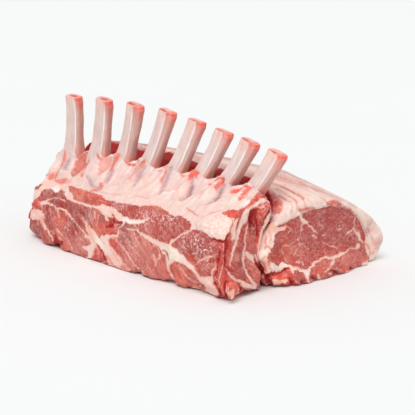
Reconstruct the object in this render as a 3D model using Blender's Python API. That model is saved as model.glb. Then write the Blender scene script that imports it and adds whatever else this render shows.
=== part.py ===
"""Raw rack of lamb: eight frenched ribs standing in the rack's own meat, with the loin eye and
its fat cap behind them.

The rack lies along X with its carved end at +X. The inner side of the ribs faces -Y, the fat cap
faces +Y, and the rack rests on Z = 0. Lengths are in metres, apart from the outlines and the row
of each rib, which are in millimetres and are scaled by MM where they are read.
"""

import math

import bmesh
import bpy
from mathutils import Vector, noise

MM = 0.001

# Driving dimensions
HALF_LENGTH = 110.0 * MM  # from the middle to either carved end
END_DOME = 1.2 * MM  # how far the middle of a carved end stands out
RIB_PITCH = 26.0 * MM  # middle of one rib to the middle of the next
FIRST_RIB_X = -90.0 * MM
RIB_WIDTH = 13.8 * MM  # along the rack
RIB_DEPTH = 6.8 * MM  # from the inner face to the outer face
RIB_BURIED = 24.0 * MM  # length of each rib that is sunk in the meat
RIB_BEND = 1.8 * MM  # how far the middle of a rib bows towards its outer face
SEAT_GAP = 0.35 * MM  # clearance between pieces that touch
RACK_CREASE_Y = -33.0 * MM  # where each end at +X is drawn in most, beside the other
LOIN_CREASE_Y = -41.0 * MM
FAT_SETBACK = 1.4 * MM  # the fat cap stops this far short of the lean at both ends

# One row for each rib: how far its root is off the even pitch, root y, root z, how far its tip is
# off the even pitch, tip y, tip z
RIB_ROWS = (
    (0.0, -42.5, 64.5, 0.0, -41.5, 106.0),
    (0.5, -38.0, 65.5, 3.0, -35.5, 106.0),
    (0.5, -35.0, 65.0, 4.0, -28.0, 104.2),
    (0.5, -33.0, 64.0, 4.0, -19.5, 101.2),
    (2.5, -32.0, 63.0, 4.5, -15.5, 96.8),
    (1.8, -31.0, 62.5, 4.5, -14.0, 92.5),
    (0.5, -30.0, 61.5, 4.5, -14.5, 89.0),
    (1.8, -31.0, 61.0, 5.0, -16.0, 85.0),
)

# Rack meat, (y, z): from the front foot, up the front, over the rib line and down the back
RACK_LEFT = (
    (-64, 0), (-70, 7), (-71, 17), (-68, 27), (-62, 36), (-56, 43), (-51, 51), (-46, 58),
    (-40, 62), (-34, 59), (-29, 46), (-27, 25), (-31, 0),
)
RACK_MIDDLE = (
    (-71, 0), (-77, 6), (-78, 18), (-76, 31), (-70, 42), (-59, 50), (-47, 56), (-38, 60),
    (-30, 61), (-25, 56), (-22, 44), (-24, 22), (-29, 0),
)
RACK_RIGHT = (
    (-69, 0), (-75, 7), (-76, 20), (-75, 34), (-71, 45), (-62, 53), (-51, 57), (-43, 59),
    (-36, 58), (-34, 49), (-37, 37), (-38, 18), (-35, 0),
)
RACK_EVEN = (0.0, 40.0 * MM)  # the middle outline holds between these

# Loin with its fat, (y, z, fat): from the inner foot, up beside the rack meat, over the top and
# down the back. fat is the depth of fat over the lean there; below zero the lean is bare, and
# the blank for the fat lies that deep inside it.
LOIN_LEFT = (
    (-28, 0, -5), (-27, 17, -5), (-25, 37, -5), (-22, 53, 4), (-16, 63, 7), (-4, 67, 7),
    (9, 66, 7), (22, 62, 6), (35, 55, 6), (47, 46, 7), (58, 34, 9), (66, 20, 12), (64, 4, 8),
    (55, 0, -5), (13, 0, -5),
)
LOIN_MIDDLE = (
    (-26, 0, -5), (-25, 17, -5), (-22, 36, -5), (-17, 53, 4), (-9, 63, 8), (4, 67, 8),
    (18, 66, 7), (33, 62, 6), (47, 54, 6), (59, 42, 8), (68, 30, 12), (74, 16, 14), (71, 3, 9),
    (60, 0, -5), (17, 0, -5),
)
LOIN_RIGHT = (
    (-34, 0, -9), (-38, 15, -9), (-37, 33, -9), (-30, 47, 6), (-18, 53, 9), (-4, 55, 7),
    (12, 54, 4), (28, 51, 4), (42, 45, 4), (55, 36, 7), (67, 26, 13), (75, 14, 17), (70, 3, 12),
    (60, 0, -5), (13, 0, -5),
)
LOIN_EVEN = (-60.0 * MM, 50.0 * MM)

LEAN_COLOUR = (0.52, 0.10, 0.09, 1.0)
FAT_COLOUR = (0.88, 0.66, 0.58, 1.0)
BONE_COLOUR = (0.74, 0.58, 0.53, 1.0)


def clear_scene():
    for obj in list(bpy.data.objects):
        bpy.data.objects.remove(obj)


def collection_named(name):
    made = bpy.data.collections.new(name)
    bpy.context.scene.collection.children.link(made)
    return made


def material_named(name, colour, roughness):
    made = bpy.data.materials.new(name)
    made.use_nodes = True
    shader = made.node_tree.nodes["Principled BSDF"]
    shader.inputs["Base Color"].default_value = colour
    shader.inputs["Roughness"].default_value = roughness
    shader.inputs["Metallic"].default_value = 0.0
    return made


def ramp(low, high, value):
    """0 below low and 1 above high, or the other way round, with an S-curve between them."""
    share = min(1.0, max(0.0, (value - low) / (high - low)))
    return share * share * (3.0 - 2.0 * share)


def hump(distance, width):
    """1 at distance 0, falling smoothly to nothing at about twice the width."""
    return math.exp(-((distance / width) ** 2))


def lumps(point, size, seed):
    """Uneven lumps of about this size, from -1 to 1."""
    return noise.noise(point / size + Vector((seed, 2.0 * seed, -seed)))


def on_closed_curve(points, share):
    """The point at a share, 0 to 1, of the way round a smooth closed curve through the points."""
    place = (share % 1.0) * len(points)
    index = int(place)
    t = place - index
    a, b, c, d = (Vector(points[(index + k) % len(points)]) for k in (-1, 0, 1, 2))
    return 0.5 * (
        2.0 * b
        + (c - a) * t
        + (2.0 * a - 5.0 * b + 4.0 * c - d) * t**2
        + (3.0 * b - a - 3.0 * c + d) * t**3
    )


def blended(middle, end, share):
    return [
        tuple((1.0 - share) * p + share * q for p, q in zip(one, other))
        for one, other in zip(middle, end)
    ]


def outline_at(x, left, middle, right, even, power):
    """The outline at x: the middle one, turning into that of the nearer end beyond even."""
    if x < even[0]:
        return blended(middle, left, min(1.0, (even[0] - x) / (even[0] + HALF_LENGTH)) ** power)
    if x > even[1]:
        return blended(middle, right, min(1.0, (x - even[1]) / (HALF_LENGTH - even[1])) ** power)
    return middle


def rack_section(x):
    """Outline and centre of the rack meat at x."""
    outline = outline_at(x, RACK_LEFT, RACK_MIDDLE, RACK_RIGHT, RACK_EVEN, 1.0)
    return lambda turn: on_closed_curve(outline, turn), middle_of(outline)


def loin_section(x, side):
    """Outline and centre at x of the lean, with side 1, or of the blank for its fat, with -1."""
    outline = outline_at(x, LOIN_LEFT, LOIN_MIDDLE, LOIN_RIGHT, LOIN_EVEN, 1.7)
    centre = middle_of(outline)

    def edge(turn):
        y, z, fat = on_closed_curve(outline, turn)
        skin = Vector((y, z))
        return skin + (centre - skin).normalized() * max(0.0, side * fat)

    return edge, centre


def middle_of(points):
    low = [min(p[k] for p in points) for k in (0, 1)]
    high = [max(p[k] for p in points) for k in (0, 1)]
    return Vector(((low[0] + high[0]) / 2, (low[1] + high[1]) / 2))


def ring_schedule(half_length, along):
    """(x, share of the outline) of each ring: a pole, one carved end, the length, the other end."""
    end_shares = (0.35, 0.7, 0.93)
    left = [(-half_length - END_DOME * (1.0 - share**2), share) for share in (0.0, *end_shares)]
    length = [(half_length * (2.0 * k / along - 1.0), 1.0) for k in range(along + 1)]
    right = [(-x, share) for x, share in reversed(left)]
    return left + length + right


def sectioned_mesh(name, section, relief, half_length, girth, along):
    """A closed body: a UV sphere whose parallels become rings of the section at each x."""
    rings = ring_schedule(half_length, along)
    bm = bmesh.new()
    bmesh.ops.create_uvsphere(bm, u_segments=girth, v_segments=len(rings) - 1, radius=1.0)
    for vert in bm.verts:
        latitude = math.acos(max(-1.0, min(1.0, -vert.co.z))) / math.pi
        x, share = rings[round(latitude * (len(rings) - 1))]
        edge, centre = section(x)
        turn = math.atan2(vert.co.y, vert.co.x) / math.tau
        y, z = centre + (edge(turn) - centre) * share
        point = Vector((x, y * MM, z * MM))
        point += relief(point)
        point.z = max(point.z, 0.0)
        vert.co = point
    bmesh.ops.triangulate(bm, faces=bm.faces)
    return mesh_from(bm, name)


def mesh_from(bm, name):
    """The mesh of a reshaped bmesh, with its faces pointing out."""
    bm.normal_update()
    bmesh.ops.recalc_face_normals(bm, faces=bm.faces)
    mesh = bpy.data.meshes.new(name)
    bm.to_mesh(mesh)
    bm.free()
    return mesh


def end_pull(point, crease_y):
    """How far the end at +X is drawn in, along the crease where the rack meets the loin."""
    near_end = ramp(78 * MM, 110 * MM, point.x)
    crease = hump(point.y - crease_y, 7 * MM) * ramp(46 * MM, 30 * MM, point.z)
    return Vector((-11 * MM * near_end * crease, 0.0, 0.0))


def rack_relief(point):
    """Slanting muscle bundles below, rib ridges above, a knob of fat and ragged carved ends."""
    move = Vector()
    front = ramp(-52 * MM, -66 * MM, point.y)
    low = ramp(50 * MM, 38 * MM, point.z)
    slanted = Vector((point.x + 0.55 * point.z, point.y, 0.35 * point.z))
    bundle = 2.4 * MM * lumps(slanted, 13 * MM, 3.0) + 1.2 * MM * lumps(point, 6 * MM, 9.0)
    move.y -= front * low * bundle
    foot = ramp(12 * MM, 2 * MM, point.z)
    move.y += front * foot * 3.0 * MM * lumps(point, 12 * MM, 8.0)
    slope = ramp(44 * MM, 52 * MM, point.z) * ramp(-26 * MM, -34 * MM, point.y)
    drift = 0.35 * (point.y + 34 * MM)
    ridge = math.cos(math.tau * (point.x - FIRST_RIB_X + drift) / RIB_PITCH)
    move.z += slope * (1.4 * MM * ridge + 1.6 * MM * lumps(point, 10 * MM, 5.0))
    knob = hump((point - Vector((90 * MM, -74 * MM, 47 * MM))).length, 12 * MM)
    move += knob * Vector((0.0, -4.5 * MM, 3.0 * MM))
    at_end = ramp(95 * MM, 108 * MM, abs(point.x)) * ramp(3 * MM, 12 * MM, point.z)
    move.x += at_end * 1.8 * MM * lumps(point, 10 * MM, 1.0)
    toe = hump(point.y + 60 * MM, 10 * MM) * ramp(16 * MM, 3 * MM, point.z)
    move.x += 3.5 * MM * ramp(90 * MM, 110 * MM, point.x) * toe
    return move + end_pull(point, RACK_CREASE_Y)


def folds(point):
    """Long shallow folds along the top of the loin, and a wavy back."""
    move = Vector()
    top = ramp(38 * MM, 54 * MM, point.z)
    fold = math.sin(math.tau * (point.y + 0.12 * point.x) / (11 * MM))
    move.z += top * (0.5 * MM * fold + 1.4 * MM * lumps(point, 24 * MM, 6.0))
    back = ramp(50 * MM, 66 * MM, point.y)
    move.y += back * 1.6 * MM * lumps(point, 20 * MM, 7.0)
    return move


def fat_relief(point):
    """The folds, and an end that stays inside the lean's along the crease."""
    return folds(point) + 2.0 * end_pull(point, LOIN_CREASE_Y)


def loin_relief(point):
    """The folds, which the lean follows, the crease, and a strip of muscle under the eye."""
    move = folds(point) + end_pull(point, LOIN_CREASE_Y)
    strip = ramp(-36 * MM, -12 * MM, point.y) * ramp(56 * MM, 26 * MM, point.y)
    low = ramp(20 * MM, 5 * MM, point.z)
    move.x += 8.0 * MM * ramp(84 * MM, 110 * MM, point.x) * strip * low
    at_end = ramp(100 * MM, 109 * MM, abs(point.x)) * ramp(2 * MM, 10 * MM, point.z)
    move.x += at_end * 1.0 * MM * lumps(point, 14 * MM, 4.0)
    return move


def rib_axis(index):
    """Root point on the meat, unit direction to the tip, and the length that shows, of a rib."""
    root_shift, root_y, root_z, tip_shift, tip_y, tip_z = RIB_ROWS[index]
    x = FIRST_RIB_X + index * RIB_PITCH
    root = Vector((x + root_shift * MM, root_y * MM, root_z * MM))
    tip = Vector((x + tip_shift * MM, tip_y * MM, tip_z * MM))
    return root, (tip - root).normalized(), (tip - root).length


def rib_girth(share):
    """A rib's width beside that of its waist, at a share of its length from the buried end."""
    flare = 0.15 * ramp(0.8, 1.0, share)
    foot = 0.1 * ramp(0.5, 0.3, share)
    taper = 0.35 * ramp(0.2, 0.0, share)
    return 1.0 + flare + foot - taper


def rib_mesh(name, index, grow):
    """A rib: a cylinder cut into rings, squared off into a flat oval and bowed along its length."""
    sides = 16
    cuts = 9
    squareness = 4.0
    root, axis, shown = rib_axis(index)
    length = shown + RIB_BURIED
    bm = bmesh.new()
    bmesh.ops.create_cone(
        bm, cap_ends=True, segments=sides, radius1=1.0, radius2=1.0, depth=1.0
    )
    for k in range(1, cuts):
        bmesh.ops.bisect_plane(
            bm,
            geom=bm.verts[:] + bm.edges[:] + bm.faces[:],
            plane_co=(0.0, 0.0, k / cuts - 0.5),
            plane_no=(0.0, 0.0, 1.0),
        )
    across = Vector((1.0, 0.0, 0.0))
    across = (across - axis * across.dot(axis)).normalized()
    through = axis.cross(across)
    for vert in bm.verts:
        share = vert.co.z + 0.5
        flat = Vector((vert.co.x, vert.co.y)).normalized()
        corner = (abs(flat.x) ** squareness + abs(flat.y) ** squareness) ** (-1.0 / squareness)
        girth = rib_girth(share)
        half_width = RIB_WIDTH / 2 * girth + grow
        half_depth = RIB_DEPTH / 2 * (1.0 + (girth - 1.0) * 0.6) + grow
        bow = RIB_BEND * math.sin(math.pi * share)
        end_gap = grow if share < 0.5 / cuts else 0.0
        vert.co = (
            root
            + axis * (length * share - RIB_BURIED - end_gap)
            + across * (half_width * corner * flat.x)
            + through * (half_depth * corner * flat.y + bow)
        )
    return mesh_from(bm, name)


def tag_mesh(name):
    """The scrap of trimmed flesh that hangs at the foot of the carved end."""
    centre = Vector((112 * MM, -71 * MM, 6.5 * MM))
    radii = Vector((4.5 * MM, 4.0 * MM, 7.5 * MM))
    bm = bmesh.new()
    bmesh.ops.create_icosphere(bm, subdivisions=2, radius=1.0)
    for vert in bm.verts:
        point = centre + vert.co * radii
        point += vert.co * 1.5 * MM * lumps(point, 5 * MM, 2.0)
        point.z = max(point.z, 0.4 * MM)
        vert.co = point
    return mesh_from(bm, name)


def grown(mesh, name):
    """A copy of a mesh moved out along its normals, to cut a seat with clearance."""
    bm = bmesh.new()
    bm.from_mesh(mesh)
    bm.normal_update()
    places = [
        vert.co + vert.normal * SEAT_GAP * min(2.0, vert.calc_shell_factor()) for vert in bm.verts
    ]
    for vert, place in zip(bm.verts, places):
        vert.co = place
    return mesh_from(bm, name)


def add_piece(name, mesh, material, collection):
    obj = bpy.data.objects.new(name, mesh)
    collection.objects.link(obj)
    mesh.materials.append(material)
    mesh.shade_smooth()
    mesh.set_sharp_from_angle(angle=math.radians(50))
    return obj


def add_cutter(name, mesh, collection):
    obj = bpy.data.objects.new(name, mesh)
    collection.objects.link(obj)
    obj.hide_render = True
    obj.display_type = "WIRE"
    return obj


def apply_boolean(obj, operation, others):
    """Cuts the others from the object, or joins them to it, and keeps the result as its mesh."""
    for other in others:
        step = obj.modifiers.new(operation.lower(), "BOOLEAN")
        step.operation = operation
        step.solver = "EXACT"
        step.object = other
    graph = bpy.context.evaluated_depsgraph_get()
    result = bpy.data.meshes.new_from_object(obj.evaluated_get(graph))
    obj.modifiers.clear()
    obj.data = result
    for other in others:
        bpy.data.objects.remove(other)


def make_rack_meat(pieces, lean):
    mesh = sectioned_mesh("rack_meat", rack_section, rack_relief, HALF_LENGTH, 36, 36)
    return add_piece("rack_meat", mesh, lean, pieces)


def make_loin(pieces, cutters, lean, fat, rack):
    """Adds the lean of the loin, cut clear of the rack meat, and its fat, cut clear of both."""
    eye_mesh = sectioned_mesh(
        "loin_eye", lambda x: loin_section(x, 1.0), loin_relief, HALF_LENGTH, 32, 26
    )
    cap_mesh = sectioned_mesh(
        "fat_cap", lambda x: loin_section(x, -1.0), fat_relief, HALF_LENGTH - FAT_SETBACK, 40, 30
    )
    eye_room = add_cutter("eye_room", grown(eye_mesh, "eye_room"), cutters)
    eye = add_piece("loin_eye", eye_mesh, lean, pieces)
    cap = add_piece("fat_cap", cap_mesh, fat, pieces)
    for obj, others in ((eye, []), (cap, [eye_room])):
        rack_room = add_cutter("rack_room", grown(rack.data, "rack_room"), cutters)
        apply_boolean(obj, "DIFFERENCE", [rack_room, *others])


def make_ribs(pieces, cutters, bone, rack):
    """Adds the ribs, and cuts the seat of each in the rack meat."""
    seats = []
    for index in range(len(RIB_ROWS)):
        name = f"rib_{index + 1}"
        add_piece(name, rib_mesh(name, index, 0.0), bone, pieces)
        seat = f"seat_{index + 1}"
        seats.append(add_cutter(seat, rib_mesh(seat, index, SEAT_GAP), cutters))
    apply_boolean(rack, "DIFFERENCE", seats)


def main():
    clear_scene()
    pieces = collection_named("rack_of_lamb")
    cutters = collection_named("cutters")
    lean = material_named("lean", LEAN_COLOUR, 0.38)
    fat = material_named("fat", FAT_COLOUR, 0.42)
    bone = material_named("bone", BONE_COLOUR, 0.35)

    rack = make_rack_meat(pieces, lean)
    make_loin(pieces, cutters, lean, fat, rack)
    tag = add_cutter("meat_tag", tag_mesh("meat_tag"), cutters)
    apply_boolean(rack, "UNION", [tag])
    make_ribs(pieces, cutters, bone, rack)


main()
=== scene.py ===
import math

import bmesh
import bpy
import numpy as np
from mathutils import Euler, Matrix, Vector, noise
from mathutils.bvhtree import BVHTree


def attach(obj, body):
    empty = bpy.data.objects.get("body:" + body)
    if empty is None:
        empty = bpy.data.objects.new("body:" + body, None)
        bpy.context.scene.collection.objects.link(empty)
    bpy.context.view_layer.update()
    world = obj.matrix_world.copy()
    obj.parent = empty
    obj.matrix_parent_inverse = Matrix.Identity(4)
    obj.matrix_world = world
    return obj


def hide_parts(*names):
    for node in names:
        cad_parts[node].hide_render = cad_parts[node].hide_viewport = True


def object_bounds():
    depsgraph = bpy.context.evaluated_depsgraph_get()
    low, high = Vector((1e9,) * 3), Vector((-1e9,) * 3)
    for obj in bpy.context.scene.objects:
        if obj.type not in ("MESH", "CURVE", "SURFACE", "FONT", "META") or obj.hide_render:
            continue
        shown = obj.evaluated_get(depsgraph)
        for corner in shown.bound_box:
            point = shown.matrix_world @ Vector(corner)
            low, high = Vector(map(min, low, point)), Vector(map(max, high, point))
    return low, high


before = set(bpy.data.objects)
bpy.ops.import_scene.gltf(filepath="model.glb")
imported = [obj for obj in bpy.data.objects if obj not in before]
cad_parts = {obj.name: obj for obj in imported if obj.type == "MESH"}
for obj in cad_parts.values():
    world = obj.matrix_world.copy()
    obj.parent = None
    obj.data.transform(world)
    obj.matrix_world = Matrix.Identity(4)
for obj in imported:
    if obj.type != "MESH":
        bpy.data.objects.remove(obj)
cadLow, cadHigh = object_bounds()
mm = 0.001
print("frame loaded")

# The camera stands at the right-hand carved end and looks along the ribs' inner side
photoView = {
    "place": (0.6078, -0.5333, 0.2094),
    "heading": (-0.7457, 0.6663),
    "lookDown": 12.568,  # degrees
    "focalLength": 100.2,
    "sensor": 36.0,
    "sightEnd": 100.0,  # metres
    "frameSize": 415.0,  # pixels a side; every mark below is in this frame
}


def lookingAxes():
    down = math.radians(photoView["lookDown"])
    level = Vector((*photoView["heading"], 0.0)).normalized()
    ahead = level * math.cos(down) + Vector((0.0, 0.0, -math.sin(down)))
    right = Vector((level.y, -level.x, 0.0))
    return right, right.cross(ahead), ahead


def framing():
    focal = photoView["focalLength"] / photoView["sensor"] * photoView["frameSize"]
    return focal, photoView["frameSize"] / 2


def photoSpots(points):
    right, up, ahead = (np.array(axis) for axis in lookingAxes())
    away = points - np.array(photoView["place"])
    depth = away @ ahead
    focal, middle = framing()
    across = middle + focal * (away @ right) / depth
    down = middle - focal * (away @ up) / depth
    return np.stack([across, down], axis=1)


def rayThrough(spot):
    right, up, ahead = lookingAxes()
    focal, middle = framing()
    across, down = ((pixel - middle) / focal for pixel in spot)
    return (ahead + right * across - up * down).normalized()


# Marks on the cut faces: patches are closed outlines (across, down), seams and slits are lines
# (across, down, half width), all in pixels of the photo's frame. A later mark covers an earlier
# one. Depth is how far a mark is sunk, in steps of 0.7 to 0.9 mm; below zero it stands proud.
def fatPatch(points, depth=0.0):
    return {"to": "fat", "closed": True, "points": points, "depth": depth}


def leanPatch(points, depth=0.0):
    return {"to": "lean", "closed": True, "points": points, "depth": depth}


def fatSeam(points, depth=0.3):
    return {"to": "fat", "closed": False, "points": points, "depth": depth}


# A slit is sunk and also painted dark: painted shade, kept as the shadow attribute
def slit(points, depth=1.6):
    return {"to": "dark", "closed": False, "points": points, "depth": depth}


# A dark patch is painted shadow only
def darkPatch(points):
    return {"to": "dark", "closed": True, "points": points, "depth": 0.0}


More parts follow.
